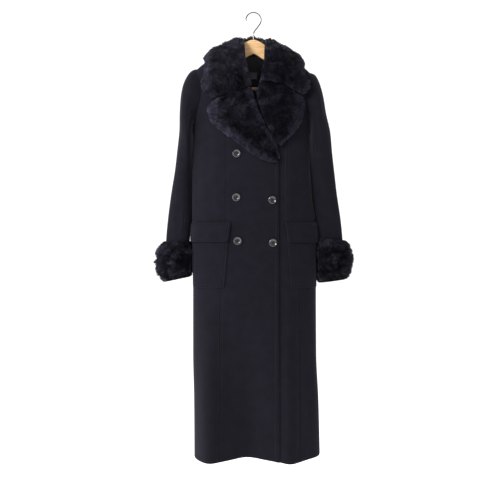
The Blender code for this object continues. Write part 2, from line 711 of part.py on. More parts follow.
def make_lapels(collection, material):
    """Fur lapels that lie on the fronts, from the gorge to the tip."""
    rows, columns = 12, 7
    for name, roll, edge, arch in (
            ("right_lapel", RIGHT_ROLL, RIGHT_LAPEL_EDGE, RIGHT_GORGE_ARCH),
            ("left_lapel", LEFT_ROLL, LEFT_LAPEL_EDGE, LEFT_GORGE_ARCH)):
        near, far = [], []
        for i in range(rows + 1):
            along = i / rows
            start = walk([Vector((p.x, 0, p.z)) for p in roll], along)
            end = walk([Vector((p.x, 0, p.z)) for p in edge], along)
            ends = 0.30 + 0.70 * min(1.0, (rows - i) / 2.5)
            ends *= mix(0.80, 1.0, min(1.0, i / 2))
            low, high = [], []
            for j in range(columns + 1):
                share = 0.5 - 0.5 * math.cos(math.pi * j / columns)
                seen = start.lerp(end, share)
                seen.z += arch * ease(1 - i / 4) * math.sin(math.pi * share ** 0.75)
                base = skin("front", seen.x, seen.z)
                n = form_normal(base)
                low.append(base + n * LAPEL_EASE)
                high.append(base + n * (0.0035 + LAPEL_PILE * pile_profile(share) * ends))
            near.append(low)
            far.append(high)
        wall(name, near, far, collection, material)


def side_columns(side, princess, shift):
    """Columns of a side front, from its princess seam to its side seam or armhole."""
    return [between(line(princess, shift), side_edge(side), share) for share in side_shares(6)]


def patch_points(patch, side, princess):
    """Grid of a pocket's or flap's points on the form, on the columns of the panel below."""
    def face_edge(z):
        return mix(patch.face_top, patch.face_bottom, (z - patch.top) / (patch.bottom - patch.top))

    heights = [patch.top] + [z for z in LEVELS_BELOW if patch.bottom + 0.02 < z < patch.fold]
    heights += [patch.fold, patch.bottom]
    heights.sort(reverse=True)
    columns = [face_edge] + side_columns(side, princess, 0.0)[:-1]
    return [[skin("front", column(z), z) for column in columns] for z in heights]


def make_pockets(collection, material):
    """Patch pockets, and the flaps that are sewn above them and hang over their mouths."""
    pocket_wall, flap_wall = 0.0026, 0.0030
    fronts = ((-1, RIGHT_PRINCESS), (1, LEFT_PRINCESS))
    for patch, front in zip(POCKETS, fronts):
        points = patch_points(patch, *front)
        wall(patch.name, *on_form(points, PATCH_EASE, PATCH_EASE + pocket_wall),
             collection, material)
    for patch, front in zip(FLAPS, fronts):
        low, high = [], []
        for i, row in enumerate(patch_points(patch, *front)):
            rise = PATCH_EASE if i == 0 else 2 * PATCH_EASE + pocket_wall
            normals = [form_normal(p) for p in row]
            low.append([p + n * rise for p, n in zip(row, normals)])
            high.append([p + n * (rise + flap_wall) for p, n in zip(row, normals)])
        wall(patch.name, low, high, collection, material)


def make_buttons(collection, material):
    """Round buttons with a raised rim: a turned profile, stood on the cloth."""
    radius, height = BUTTON_DIAMETER / 2, BUTTON_HEIGHT
    profile = [(0.0, 0.62), (0.52, 0.62), (0.70, 0.86), (0.82, 1.0), (0.93, 0.92), (1.0, 0.55),
               (0.93, 0.12), (0.80, 0.0), (0.0, 0.0)]
    for button in BUTTONS:
        mesh = bpy.data.meshes.new(button.name)
        verts = [(radius * r, 0.0, height * h) for r, h in profile]
        mesh.from_pydata(verts, [(i, i + 1) for i in range(len(verts) - 1)], [])
        obj = bpy.data.objects.new(button.name, mesh)
        collection.objects.link(obj)
        mesh.materials.append(material)
        turn = obj.modifiers.new("turn", "SCREW")
        turn.steps = turn.render_steps = 20
        turn.use_merge_vertices = True
        turn.merge_threshold = 0.00001
        turn.use_smooth_shade = True
        base = skin("front", button.x, button.z)
        n = form_normal(base)
        obj.rotation_euler = n.to_track_quat("Z", "Y").to_euler()
        obj.location = base + n * button.rise


def make_neck_lining(collection, lining, tape):
    """What shows inside the neck: a lining on the inside of the back, and a plain tab on it."""
    rows, columns = 7, 8
    lining_wall, tab_wall = 0.0015, 0.0008
    points = []
    for i in range(rows + 1):
        row = []
        for j in range(columns + 1):
            x = mix(-LINING_HALF, LINING_HALF, j / columns)
            z = mix(top_edge("back", x) - 0.006, -0.31 + 4.0 * x * x, i / rows)
            row.append(skin("back", x, z))
        points.append(row)
    wall("neck_lining", *on_form(points, -WALL - LINING_EASE - lining_wall, -WALL - LINING_EASE),
         collection, lining)
    points = [[skin("back", x, z) for x in (-0.0115, 0.0, 0.0115)]
              for z in (-0.171, -0.181, -0.191)]
    top = -WALL - LINING_EASE - lining_wall - LINING_EASE / 2
    wall("neck_tab", *on_form(points, top - tab_wall, top), collection, tape)


def ring_of(middle, half_y, half_z, count):
    """Upright loop round a point of an arm, rounded at its corners."""
    loop = []
    for i in range(count):
        angle = 2 * math.pi * i / count
        y = half_y * math.copysign(abs(math.cos(angle)) ** 0.75, math.cos(angle))
        z = half_z * math.copysign(abs(math.sin(angle)) ** 0.9, math.sin(angle))
        loop.append(middle + Vector((0, y, z)))
    return loop


def make_hanger(collection, wood):
    """Arms in one piece, lofted from end to end, with a round bar between their lower ends."""
    stations = [arm._replace(x=-arm.x) for arm in reversed(ARMS[1:])] + ARMS
    rings = []
    for arm in stations:
        thin = 0.72 if abs(arm.x) > 0.168 else 1.0
        middle = Vector((arm.x, 0, (arm.top + arm.bottom) / 2 - HANGER_TILT * arm.x))
        rings.append(ring_of(middle, thin * ARM_THICKNESS / 2, (arm.top - arm.bottom) / 2, 14))
    mesh = bpy.data.meshes.new("hanger_arms")
    bm = bmesh.new()
    loops = [[bm.verts.new(p) for p in ring] for ring in rings]
    for a, b in zip(loops, loops[1:]):
        for j in range(len(a)):
            k = (j + 1) % len(a)
            bm.faces.new((a[j], a[k], b[k], b[j]))
    bm.faces.new(loops[0])
    bm.faces.new(loops[-1])
    bmesh.ops.triangulate(bm, faces=bm.faces)
    bmesh.ops.recalc_face_normals(bm, faces=bm.faces)
    bm.to_mesh(mesh)
    bm.free()
    add_object("hanger_arms", mesh, collection, wood)

    reach = ARMS[6].x + BAR_SEAT
    bpy.ops.mesh.primitive_cylinder_add(vertices=16, radius=BAR_DIAMETER / 2, depth=2 * reach,
                                        location=(0, 0, BAR_Z),
                                        rotation=(0, math.pi / 2 + math.atan(HANGER_TILT), 0))
    bar = bpy.context.object
    bar.name = "trouser_bar"
    for owner in bar.users_collection:
        owner.objects.unlink(bar)
    collection.objects.link(bar)
    bar.data.materials.append(wood)
    return bar


def make_hook(collection, metal):
    """Wire hook, open to the viewer's left, on a straight stem."""
    middle_z = WIRE / 2 - HOOK_RADIUS
    points = []
    for i in range(17):
        angle = math.radians(mix(186, -32, i / 16))
        points.append(Vector((HOOK_RADIUS * math.cos(angle), 0,
                              middle_z + HOOK_RADIUS * math.sin(angle))))
    bend = [Vector((0.0122, 0, -0.0452)), Vector((0.0055, 0, -0.0530)),
            Vector((0.0015, 0, -0.0600)), Vector((0.0, 0, -0.0680))]
    points += bend + [Vector((0, 0, ARMS[0].top + EASE))]
    curve = bpy.data.curves.new("hook", "CURVE")
    curve.dimensions = "3D"
    curve.bevel_depth = WIRE / 2
    curve.bevel_resolution = 2
    curve.use_fill_caps = True
    spline = curve.splines.new("POLY")
    spline.points.add(len(points) - 1)
    for target, p in zip(spline.points, points):
        target.co = (*p, 1.0)
    obj = bpy.data.objects.new("hook", curve)
    collection.objects.link(obj)
    curve.materials.append(metal)


def main():
    for obj in list(bpy.data.objects):
        bpy.data.objects.remove(obj)
    collection = bpy.data.collections.new(COLLECTION)
    bpy.context.scene.collection.children.link(collection)

    wool = make_material("black_wool", (0.010, 0.010, 0.014), 0.92)
    fur = make_material("black_fur", (0.012, 0.011, 0.015), 0.70)
    lining = make_material("black_lining", (0.012, 0.011, 0.013), 0.45)
    tape = make_material("plain_tab", (0.030, 0.028, 0.032), 0.60)
    wood = make_material("pale_wood", (0.76, 0.47, 0.19), 0.45)
    metal = make_material("bright_steel", (0.80, 0.80, 0.82), 0.22, metallic=1.0)
    horn = make_material("black_button", (0.018, 0.018, 0.022), 0.28)

    make_back(collection, wool)
    make_fronts(collection, wool)
    make_sleeves(collection, wool)
    make_pockets(collection, wool)
    make_collar(collection, fur)
    make_lapels(collection, fur)
    make_cuffs(collection, fur)
    make_buttons(collection, horn)
    make_neck_lining(collection, lining, tape)
    make_hanger(collection, wood)
    make_hook(collection, metal)


main()
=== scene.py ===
"""Dresses the frame of a long double-breasted wool coat with a fur collar and fur cuffs.

Metres, +Z up, the coat's front to -Y. Every piece of cloth is cut again, finely, from the form
that the solids were cut from, so it lies where its solid lies. Fur is a dense pad with separate
hairs on it. Buttons, hanger and hook are modelled with Blender's own tools.
"""

import logging
import math
from dataclasses import dataclass
from enum import Enum
from functools import partial
from typing import Callable, NamedTuple, Optional, Sequence

import bmesh
import bpy
import numpy as np
from mathutils import Matrix, Vector, kdtree, noise


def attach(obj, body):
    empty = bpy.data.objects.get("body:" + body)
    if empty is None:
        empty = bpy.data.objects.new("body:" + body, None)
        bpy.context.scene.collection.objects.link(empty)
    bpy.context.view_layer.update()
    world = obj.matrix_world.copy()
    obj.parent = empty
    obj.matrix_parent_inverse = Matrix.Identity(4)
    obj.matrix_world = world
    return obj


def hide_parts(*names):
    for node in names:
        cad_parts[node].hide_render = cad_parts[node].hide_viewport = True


LOG = logging.getLogger("fur_trimmed_coat")
Grid = np.ndarray
Curve = Callable[[Grid], Grid]
Pairs = Sequence[tuple[float, float]]
Colour = tuple[float, float, float, float]
Piece = bpy.types.Object
Material = bpy.types.Material


class Face(Enum):
    """Which half of the form a point lies on."""

    FRONT = "front"
    BACK = "back"


class Side(Enum):
    """The wearer's right lies at -X, the left at +X."""

    RIGHT = -1
    LEFT = 1

    @property
    def word(self) -> str:
        """The side as pieces are named by it."""
        return self.name.lower()


class Edge(Enum):
    """How the edge of a piece of cloth is sewn."""

    PLAIN = "plain"
    SEAM = "seam"
    FACED = "faced"


class Level(NamedTuple):
    """The form at a height: half widths on the wearer's right and left, and depths."""

    z: float
    right: float
    left: float
    front: float
    back: float


class Fold(NamedTuple):
    """A vertical fold of the skirt, that grows down to the hem."""

    face: Face
    x: float
    width: float
    top: float
    depth: float


class Ring(NamedTuple):
    """A ring of a sleeve: its outer and inner point, and its reach."""

    out_x: float
    out_z: float
    in_x: float
    in_z: float
    front: float
    back: float
    in_y: float


class Patch(NamedTuple):
    """A pocket or a flap, by its edge near the front and its heights."""

    name: str
    face_top: float
    face_bottom: float
    top: float
    fold: float
    bottom: float


class Button(NamedTuple):
    """A button's middle, and how far its back stands off the form."""

    name: str
    x: float
    z: float
    rise: float


class Arm(NamedTuple):
    """Top and bottom edge of a hanger arm."""

    x: float
    top: float
    bottom: float


class Cut(NamedTuple):
    """What a piece of cloth is cut to when it lies flat, in metres."""

    width: float
    length: float


class Crease(NamedTuple):
    """A soft trough (below 0) or ridge (above 0) along a line on the body."""

    face: Face
    x0: float
    z0: float
    x1: float
    z1: float
    width: float
    depth: float


class SleeveCrease(NamedTuple):
    """A trough or ridge on a sleeve, by angle round it (0 outside, 90 in front) and height."""

    side: Side
    turn0: float
    z0: float
    turn1: float
    z1: float
    width: float
    depth: float


class Lean(NamedTuple):
    """How far the edges of a cuff lean up from level, at the sleeve's outer and inner side."""

    out_top: float
    out_bottom: float
    in_top: float
    in_bottom: float


class Lapel(NamedTuple):
    """A lapel: its two sides, its gorge, how its fur fills, fans and lies, and its painted
    highlight along the roll.
    """

    roll: Pairs
    edge: Pairs
    arch: float
    filled: float
    fanned: float
    foot_lie: float
    roll_highlight: float


class Lamp(NamedTuple):
    """A soft square lamp that faces the middle of the coat."""

    name: str
    place: tuple[float, float, float]
    size: float
    power: float


# Cloth: its wall, and the gaps between pieces that are sewn together or lie on each other
WALL = 0.003
SEAM = 0.00003
ARMHOLE_GAP = 0.00003
CUFF_EASE = 0.0008
LAPEL_EASE = 0.0009
LINING_EASE = 0.0009
PATCH_EASE = 0.0007

# Exponent of the form's outline seen from above (2 is an ellipse), how far a sleeve's front
# turns outwards, and half the width of the lining
ROUNDNESS = 2.3
SLEEVE_SLANT = 0.22
LINING_HALF = 0.046

# Heights of the main lines, from the hang point, and how far out the shoulder's tip and the
# neck's point lie
ARMPIT_Z = -0.372
BREAK_Z = -0.476
HEM_Z = -1.3655
SHOULDER_TIP = 0.172
NECK_POINT = 0.056
BACK_NECK_Z = -0.119
WAIST_Z = -0.62
CUFF_TOP = -0.7090
CUFF_BOTTOM = -0.8330

# Lap of the double-breasted front: its two edges, and how the under front is set back, from
# where inwards, over what run and below what height
FRONT_EDGE = 0.0757
UNDER_EDGE = -0.0730
LAP_INSET = 0.0045
LAP_INSET_X = 0.103
LAP_INSET_RUN = 0.022
LAP_INSET_Z = -0.20

# Wood hanger and wire hook
WIRE = 0.0037
HOOK_RADIUS = 0.0234
HANGER_TILT = 0.035
ARM_THICKNESS = 0.012
BAR_DIAMETER = 0.0095
BAR_Z = -0.2345
BAR_SEAT = 0.0003
HOOK_EASE = 0.0004
HOOK_TURNS = (186, -32)
HOOK_BEND = [(0.0122, 0, -0.0452), (0.0055, 0, -0.0530), (0.0015, 0, -0.0600), (0.0, 0, -0.0680)]

# Where the arms' wide ends begin, where their tips are thin, and how thin
ARM_END = 0.1501
ARM_TIP = 0.168
ARM_TIP_SHARE = 0.72

# Fur: how high the pile stands, how many hairs a piece has, and what its randomness starts from
COLLAR_PILE, COLLAR_HAIRS, COLLAR_SEED = 0.026, 60000, 11
LAPEL_PILE, LAPEL_HAIRS, LAPEL_SEED = 0.022, 25000, 23
CUFF_PILE, CUFF_HAIRS, CUFF_SEED = 0.029, 34000, 41

# Steps in which the length of the collar and of a lapel is counted, where their ends fade
COLLAR_STEPS = 30
LAPEL_STEPS = 12

# Buttons
BUTTON_DIAMETER = 0.0237
BUTTON_HEIGHT = 0.0046

# A button's face from its rim inwards: how far in, of its radius, and up, of its height
BUTTON_STEPS = ((0.06, 0.14), (0.07, 0.08), (0.09, -0.10), (0.10, -0.26), (0.16, -0.10),
                (0.20, -0.03))

# The form, from the top of the shoulders to below the hem
LEVELS = [Level(*row) for row in (
    (-0.094, 0.024, 0.018, 0.01, 0.009), (-0.105, 0.0565, 0.048, 0.019, 0.017),
    (-0.115, 0.08, 0.069, 0.027, 0.024), (-0.125, 0.101, 0.088, 0.034, 0.03),
    (-0.14, 0.127, 0.114, 0.042, 0.037), (-0.155, 0.149, 0.1355, 0.048, 0.043),
    (-0.17, 0.168, 0.1545, 0.053, 0.048), (-0.185, 0.181, 0.172, 0.057, 0.053),
    (-0.2, 0.187, 0.1825, 0.061, 0.057), (-0.24, 0.189, 0.186, 0.068, 0.066),
    (-0.31, 0.188, 0.179, 0.077, 0.075), (-0.372, 0.187, 0.173, 0.083, 0.08),
    (-0.45, 0.188, 0.173, 0.087, 0.082), (-0.55, 0.189, 0.178, 0.086, 0.08),
    (-0.67, 0.19, 0.193, 0.087, 0.082), (-0.86, 0.187, 0.193, 0.089, 0.085),
    (-1.05, 0.187, 0.194, 0.085, 0.087), (-1.2, 0.184, 0.201, 0.081, 0.088),
    (-1.4, 0.183, 0.206, 0.077, 0.088),
)]

# Vertical folds of the skirt: each grows from its top to its full depth at the hem
FOLDS = [Fold(face, *row) for face, rows in (
    (Face.FRONT, (
        (-0.142, 0.04, -0.8, 0.04), (-0.02, 0.055, -0.86, -0.032), (0.112, 0.04, -0.74, 0.024),
    )),
    (Face.BACK, (
        (-0.125, 0.035, -0.7, 0.02), (-0.055, 0.03, -0.62, -0.014), (0.01, 0.034, -0.66, 0.016),
        (0.072, 0.03, -0.58, -0.016), (0.135, 0.036, -0.72, 0.02),
    )),
) for row in rows]

# How far the hem drops or lifts from its mean height: x across the front, and the drop
HEM = [
    (-0.19, 0.007), (-0.14, 0.004), (-0.075, 0.001), (-0.02, -0.003), (0.05, 0.0), (0.112, 0.004),
    (0.165, 0.001), (0.206, -0.001),
]

# Armhole: share of the way from shoulder tip to armpit, and of the form's half width left
ARMHOLE = [
    (0.0, 1.0), (0.1, 0.935), (0.25, 0.868), (0.41, 0.846), (0.56, 0.872), (0.7, 0.922),
    (0.86, 0.973), (1.0, 1.0),
]

# Seam lines and front edges of the fronts: z and x
RIGHT_PRINCESS = [
    (-0.1, -0.118), (-0.2, -0.104), (-0.3, -0.091), (-0.42, -0.0848), (-0.63, -0.0847),
    (-0.75, -0.093), (-0.87, -0.1005), (-1.18, -0.102), (-1.38, -0.108),
]
LEFT_PRINCESS = [
    (-0.1, 0.118), (-0.2, 0.109), (-0.3, 0.102), (-0.42, 0.0997), (-0.63, 0.0996), (-0.75, 0.118),
    (-0.87, 0.135), (-1.18, 0.1375), (-1.38, 0.137),
]
RIGHT_NECKLINE = [
    (-0.1, -0.058), (-0.15, -0.044), (-0.2, -0.03), (-0.267, -0.01), (-0.307, 0.003),
    (-0.36, 0.024), (-0.418, 0.054), (-0.455, 0.071), (BREAK_Z, FRONT_EDGE),
]
LEFT_NECKLINE = [
    (-0.1, 0.056), (-0.15, 0.046), (-0.2, 0.034), (-0.267, 0.012), (-0.307, -0.001),
    (-0.36, -0.022), (-0.418, -0.052), (-0.455, -0.068), (BREAK_Z, UNDER_EDGE),
]

PRINCESS = {Side.RIGHT: RIGHT_PRINCESS, Side.LEFT: LEFT_PRINCESS}

# Sleeve rings: outermost and innermost point of each, and its reach to front and back
RIGHT_SLEEVE = [Ring(*row) for row in (
    (-0.19, -0.183, -0.189, -0.38, 0.052, 0.05, 0.0),
    (-0.205, -0.198, -0.189, -0.391, 0.058, 0.056, 0.003),
    (-0.2175, -0.226, -0.189, -0.404, 0.063, 0.061, 0.007),
    (-0.2245, -0.264, -0.189, -0.418, 0.066, 0.065, 0.011),
    (-0.2278, -0.315, -0.189, -0.433, 0.066, 0.068, 0.015),
    (-0.229, -0.37, -0.189, -0.45, 0.064, 0.07, 0.018),
    (-0.236, -0.433, -0.1892, -0.474, 0.059, 0.071, 0.02),
    (-0.2433, -0.4929, -0.1896, -0.506, 0.052, 0.071, 0.02),
    (-0.255, -0.564, -0.1902, -0.569, 0.045, 0.071, 0.018),
    (-0.2651, -0.6417, -0.1908, -0.643, 0.037, 0.071, 0.009),
    (-0.2712, -0.713, -0.199, -0.713, 0.03, 0.072, 0.0),
    (-0.274, -0.812, -0.201, -0.812, 0.026, 0.074, 0.0),
)]
LEFT_SLEEVE = [Ring(*row) for row in (
    (0.189, -0.196, 0.175, -0.38, 0.052, 0.05, 0.0),
    (0.2, -0.211, 0.175, -0.391, 0.058, 0.056, 0.003),
    (0.2085, -0.235, 0.175, -0.404, 0.063, 0.061, 0.007),
    (0.216, -0.266, 0.1749, -0.418, 0.066, 0.065, 0.011),
    (0.224, -0.315, 0.1747, -0.433, 0.066, 0.068, 0.015),
    (0.2365, -0.37, 0.1746, -0.45, 0.064, 0.07, 0.018),
    (0.2425, -0.433, 0.1752, -0.474, 0.059, 0.071, 0.02),
    (0.2495, -0.4929, 0.1768, -0.506, 0.052, 0.071, 0.02),
    (0.258, -0.564, 0.1814, -0.569, 0.045, 0.071, 0.018),
    (0.2697, -0.6417, 0.1914, -0.643, 0.037, 0.071, 0.004),
    (0.2765, -0.716, 0.203, -0.716, 0.03, 0.072, 0.0),
    (0.28, -0.812, 0.205, -0.812, 0.026, 0.074, 0.0),
)]

SLEEVES = {Side.RIGHT: RIGHT_SLEEVE, Side.LEFT: LEFT_SLEEVE}

# Collar sections from the middle of the back to the gorge: x, y, z of the foot of the stand
# inside the neck, x, y, z of the fall's edge, how thick the pile is, and how far it stands up
RIGHT_COLLAR = [
    (0.0, 0.013, -0.084, 0.0, 0.074, -0.205, 0.94, 0.75),
    (-0.02, 0.012, -0.084, -0.048, 0.073, -0.204, 0.94, 0.78),
    (-0.03, 0.008, -0.082, -0.092, 0.064, -0.194, 0.94, 0.85),
    (-0.034, -0.001, -0.086, -0.118, 0.044, -0.18, 0.88, 0.85),
    (-0.031, -0.015, -0.089, -0.129, 0.014, -0.164, 0.62, 0.75),
    (-0.026, -0.03, -0.106, -0.137, -0.014, -0.173, 0.56, 0.55),
    (-0.0235, -0.044, -0.13, -0.147, -0.034, -0.198, 0.66, 0.35),
    (-0.0215, -0.056, -0.158, -0.157, -0.048, -0.224, 0.84, 0.2),
    (-0.0165, -0.066, -0.187, -0.158, -0.056, -0.247, 1.0, 0.1),
    (-0.0105, -0.072, -0.216, -0.149, -0.06, -0.264, 1.0, 0.05),
    (-0.004, -0.076, -0.243, -0.126, -0.062, -0.283, 1.0, 0.0),
]
LEFT_COLLAR = [
    (0.0, 0.013, -0.084, 0.0, 0.074, -0.205, 0.94, 0.75),
    (0.02, 0.012, -0.085, 0.048, 0.073, -0.205, 0.94, 0.78),
    (0.033, 0.008, -0.084, 0.092, 0.064, -0.197, 0.94, 0.84),
    (0.036, -0.001, -0.091, 0.12, 0.044, -0.185, 0.84, 0.8),
    (0.034, -0.015, -0.096, 0.134, 0.014, -0.174, 0.6, 0.72),
    (0.031, -0.03, -0.11, 0.142, -0.014, -0.184, 0.56, 0.55),
    (0.029, -0.044, -0.133, 0.152, -0.034, -0.201, 0.66, 0.35),
    (0.028, -0.056, -0.16, 0.163, -0.048, -0.222, 0.86, 0.2),
    (0.0255, -0.066, -0.186, 0.168, -0.056, -0.241, 1.0, 0.1),
    (0.02, -0.072, -0.213, 0.164, -0.06, -0.257, 1.0, 0.05),
    (0.0125, -0.076, -0.243, 0.15, -0.062, -0.271, 1.0, 0.0),
]

# How far the gorge seam, where collar meets lapel, arches above a straight line
RIGHT_GORGE_ARCH = 0.000
LEFT_GORGE_ARCH = 0.022

# Lapel outlines from the front, x and z: the roll side and the free edge, from gorge to tip
RIGHT_ROLL = [
    (-0.004, -0.245), (0.002, -0.268), (0.0125, -0.306), (0.033, -0.357), (0.062, -0.416),
    (0.078, -0.456),
]
RIGHT_LAPEL_EDGE = [
    (-0.122, -0.288), (-0.134, -0.299), (-0.14, -0.316), (-0.134, -0.343), (-0.116, -0.365),
    (-0.064, -0.406), (-0.008, -0.449), (0.038, -0.471), (0.069, -0.474),
]
LEFT_ROLL = [
    (0.0125, -0.245), (0.007, -0.266), (0.0145, -0.304), (0.035, -0.355), (0.06, -0.407),
    (0.07, -0.419),
]
LEFT_LAPEL_EDGE = [
    (0.143, -0.276), (0.152, -0.287), (0.1545, -0.305), (0.149, -0.329), (0.138, -0.354),
    (0.119, -0.381), (0.098, -0.403), (0.08, -0.422),
]

# Each lapel's last value paints its fur paler along the roll: a painted highlight
LAPELS = {
    Side.RIGHT: Lapel(RIGHT_ROLL, RIGHT_LAPEL_EDGE, RIGHT_GORGE_ARCH, 0.8, 1.6, -0.70, 1.05),
    Side.LEFT: Lapel(LEFT_ROLL, LEFT_LAPEL_EDGE, LEFT_GORGE_ARCH, 0.5, 0.7, -0.45, 0.10),
}

# Pockets and flaps: x of the edge near the front at top and bottom, the top, the height
# below which a flap hangs over its pocket, and the bottom
POCKETS = [Patch(*row) for row in (
    ("right_pocket", -0.071, -0.0868, -0.668, -0.69, -0.848),
    ("left_pocket", 0.097, 0.1105, -0.668, -0.69, -0.848),
)]
FLAPS = [Patch(*row) for row in (
    ("right_pocket_flap", -0.0672, -0.0756, -0.649, -0.66, -0.71),
    ("left_pocket_flap", 0.092, 0.1014, -0.65, -0.66, -0.711),
)]

# Buttons: middle, and how far the flat back stands off the form
BUTTONS = [Button(*row) for row in (
    ("button_top_right", -0.051, -0.4471, 0.0001),
    ("button_middle_right", -0.0519, -0.5771, 0.0005),
    ("button_middle_left", 0.0543, -0.5851, 0.0006),
    ("button_bottom_right", -0.048, -0.7064, 0.0005),
    ("button_bottom_left", 0.0563, -0.7121, 0.0005),
)]

# Hanger arms from the middle outwards: top and bottom edge before the tilt
ARMS = [Arm(*row) for row in (
    (0.0, -0.0834, -0.1268), (0.012, -0.0865, -0.1325), (0.026, -0.0938, -0.141),
    (0.05, -0.1084, -0.153), (0.085, -0.1258, -0.168), (0.12, -0.146, -0.186),
    (0.15, -0.168, -0.212), (0.1512, -0.169, -0.243), (0.164, -0.18, -0.243),
    (0.171, -0.189, -0.232),
)]

# Cloth creases on the body and on the sleeves, placed as in the photograph
CREASES = [Crease(face, *row) for face, rows in (
    (Face.FRONT, (
        (-0.15, -0.33, -0.118, -0.52, 0.016, -0.0022),
        (-0.128, -0.4, -0.104, -0.64, 0.013, 0.0014), (0.15, -0.35, 0.126, -0.58, 0.017, -0.0024),
        (0.168, -0.42, 0.146, -0.69, 0.013, 0.0015), (0.116, -0.56, 0.06, -0.61, 0.012, -0.001),
        (-0.16, -0.56, -0.1, -0.6, 0.012, -0.0012), (-0.128, -0.86, -0.15, -1.33, 0.02, 0.0024),
        (-0.07, -0.88, -0.064, -1.35, 0.018, -0.002),
        (-0.012, -0.93, -0.022, -1.36, 0.024, -0.0014), (0.04, -0.98, 0.052, -1.35, 0.02, 0.0017),
        (0.15, -0.88, 0.168, -1.34, 0.018, -0.0024), (0.098, -0.9, 0.11, -1.35, 0.016, 0.0018),
    )),
    (Face.BACK, (
        (-0.14, -0.26, -0.07, -0.43, 0.016, -0.0028), (0.136, -0.27, 0.078, -0.4, 0.015, -0.0024),
        (-0.06, -0.47, 0.064, -0.5, 0.014, -0.0018), (-0.11, -0.56, 0.02, -0.6, 0.013, 0.0016),
        (0.11, -0.54, 0.03, -0.575, 0.012, -0.0015), (-0.094, -0.7, -0.108, -1.32, 0.018, -0.0022),
        (-0.022, -0.76, -0.016, -1.35, 0.017, 0.0018), (0.04, -0.82, 0.046, -1.34, 0.016, -0.002),
        (0.104, -0.74, 0.118, -1.33, 0.018, 0.0022),
    )),
) for row in rows]
SLEEVE_CREASES = [SleeveCrease(side, *row) for side, rows in (
    (Side.LEFT, (
        (98, -0.23, 108, -0.4, 0.01, -0.0034), (62, -0.25, 74, -0.39, 0.011, 0.0018),
        (118, -0.452, 62, -0.484, 0.01, -0.0026), (128, -0.5, 78, -0.516, 0.01, 0.0018),
        (112, -0.54, 58, -0.526, 0.009, -0.0022), (84, -0.56, 92, -0.69, 0.011, -0.002),
        (210, -0.43, 262, -0.462, 0.01, -0.0026), (226, -0.49, 286, -0.5, 0.011, 0.0018),
        (236, -0.54, 300, -0.576, 0.01, -0.0022), (262, -0.26, 250, -0.4, 0.012, -0.0026),
        (300, -0.59, 284, -0.7, 0.011, -0.0018),
    )),
    (Side.RIGHT, (
        (96, -0.25, 108, -0.38, 0.011, -0.0028), (58, -0.29, 70, -0.42, 0.012, 0.0016),
        (126, -0.446, 72, -0.47, 0.01, -0.0024), (104, -0.512, 50, -0.5, 0.01, 0.0016),
        (122, -0.548, 66, -0.56, 0.009, -0.0022), (80, -0.58, 96, -0.7, 0.012, -0.0018),
        (214, -0.44, 270, -0.448, 0.01, -0.0024), (232, -0.51, 292, -0.53, 0.01, -0.0022),
        (270, -0.27, 256, -0.39, 0.012, -0.0024), (290, -0.58, 276, -0.69, 0.012, 0.0016),
    )),
) for row in rows]

# Sewing: how cloth rolls in at an edge, how far inside it a row of stitches runs and how deep
# it sinks, and how the cloth swells between the two
SEAM_DIP = 0.0012
SEAM_REACH = 0.0034
GROOVE = 0.0007
GROOVE_WIDTH = 0.0013
STITCH_LINES = {Edge.SEAM: 0.0048, Edge.FACED: 0.0120}
SWELLS = {Edge.SEAM: 0.0005, Edge.FACED: 0.0011}
SWELL_PLACE = 0.62
SWELL_WIDTH = 0.26
PATCH_STITCH = 0.0060
STITCH_LENGTH = 0.0029
STITCH_THICK = 0.00060
STITCH_PITCH = 0.0041
STITCH_POINTS = 10
STITCHES_TOP = -0.24

# Distances from an edge at which cloth has grid lines, more of them at a faced edge, the last
# rows above the hem, and the distances of a pocket's lines
EDGE_LINES = [0.0, 0.0011, 0.0022, 0.0034, 0.0041, 0.0048, 0.0055, 0.0064, 0.0082]
FACED_LINES = [0.0104, 0.0113, 0.0120, 0.0127, 0.0136]
EDGE_BAND = 0.0150
HEM_ROWS = (0.009, 0.006, 0.0034, 0.0022, 0.0011, 0.0)
PATCH_LINES = [0.0, 0.0009, 0.0019, 0.0030, 0.0041, 0.0050, 0.0060, 0.0070, 0.0082]
PATCH_BAND = 0.011

# How the cuffs hang aslant
CUFF_LEANS = {Side.RIGHT: Lean(0.0, 0.002, 0.0, 0.018),
              Side.LEFT: Lean(0.003, 0.010, 0.010, 0.0)}

# Finishes with fibres: dark and light colour, roughness, sheen, scales of the mottle and of
# the fibres, how many times longer than wide they are, their bump in metres, and the shine
CLOTHS = [
    ("brushed_wool", (0.0054, 0.0050, 0.0086, 1), (0.0079, 0.0072, 0.0121, 1),
     0.94, 0.10, 34.0, 620.0, 5.0, 0.00035, 0.12),
    ("satin_lining", (0.0110, 0.0105, 0.0165, 1), (0.0190, 0.0180, 0.0270, 1),
     0.46, 0.04, 22.0, 1500.0, 12.0, 0.00008, 0.20),
    ("woven_tape", (0.150, 0.145, 0.200, 1), (0.230, 0.220, 0.290, 1),
     0.62, 0.12, 90.0, 2400.0, 0.5, 0.00010, 0.12),
    ("twisted_thread", (0.0150, 0.0140, 0.0200, 1), (0.0300, 0.0280, 0.0380, 1),
     0.66, 0.10, 300.0, 3000.0, 1.0, 0.00008, 0.12),
]

# Camera, at the photograph's angle, and floor
CAMERA_PLACE = (-0.0264, -2.0, -0.719)
CAMERA_LENS = 47.4
SENSOR = 36.0
FLOOR_Z = -1.72
LAMPS = [Lamp("key_lamp", (-1.5, -2.0, 0.6), 0.9, 60.0),
         Lamp("side_lamp", (-3.0, -0.6, -0.4), 2.4, 50.0),
         Lamp("fill_lamp", (2.1, -2.2, 0.2), 1.4, 3.0),
         Lamp("top_lamp", (0.2, 0.9, 1.6), 1.6, 30.0)]
LAMP_AIM = (0, 0, -0.60)


def ease(t: Grid) -> Grid:
    """Smooth step from 0 to 1."""
    t = np.clip(t, 0.0, 1.0)
    return t * t * (3 - 2 * t)


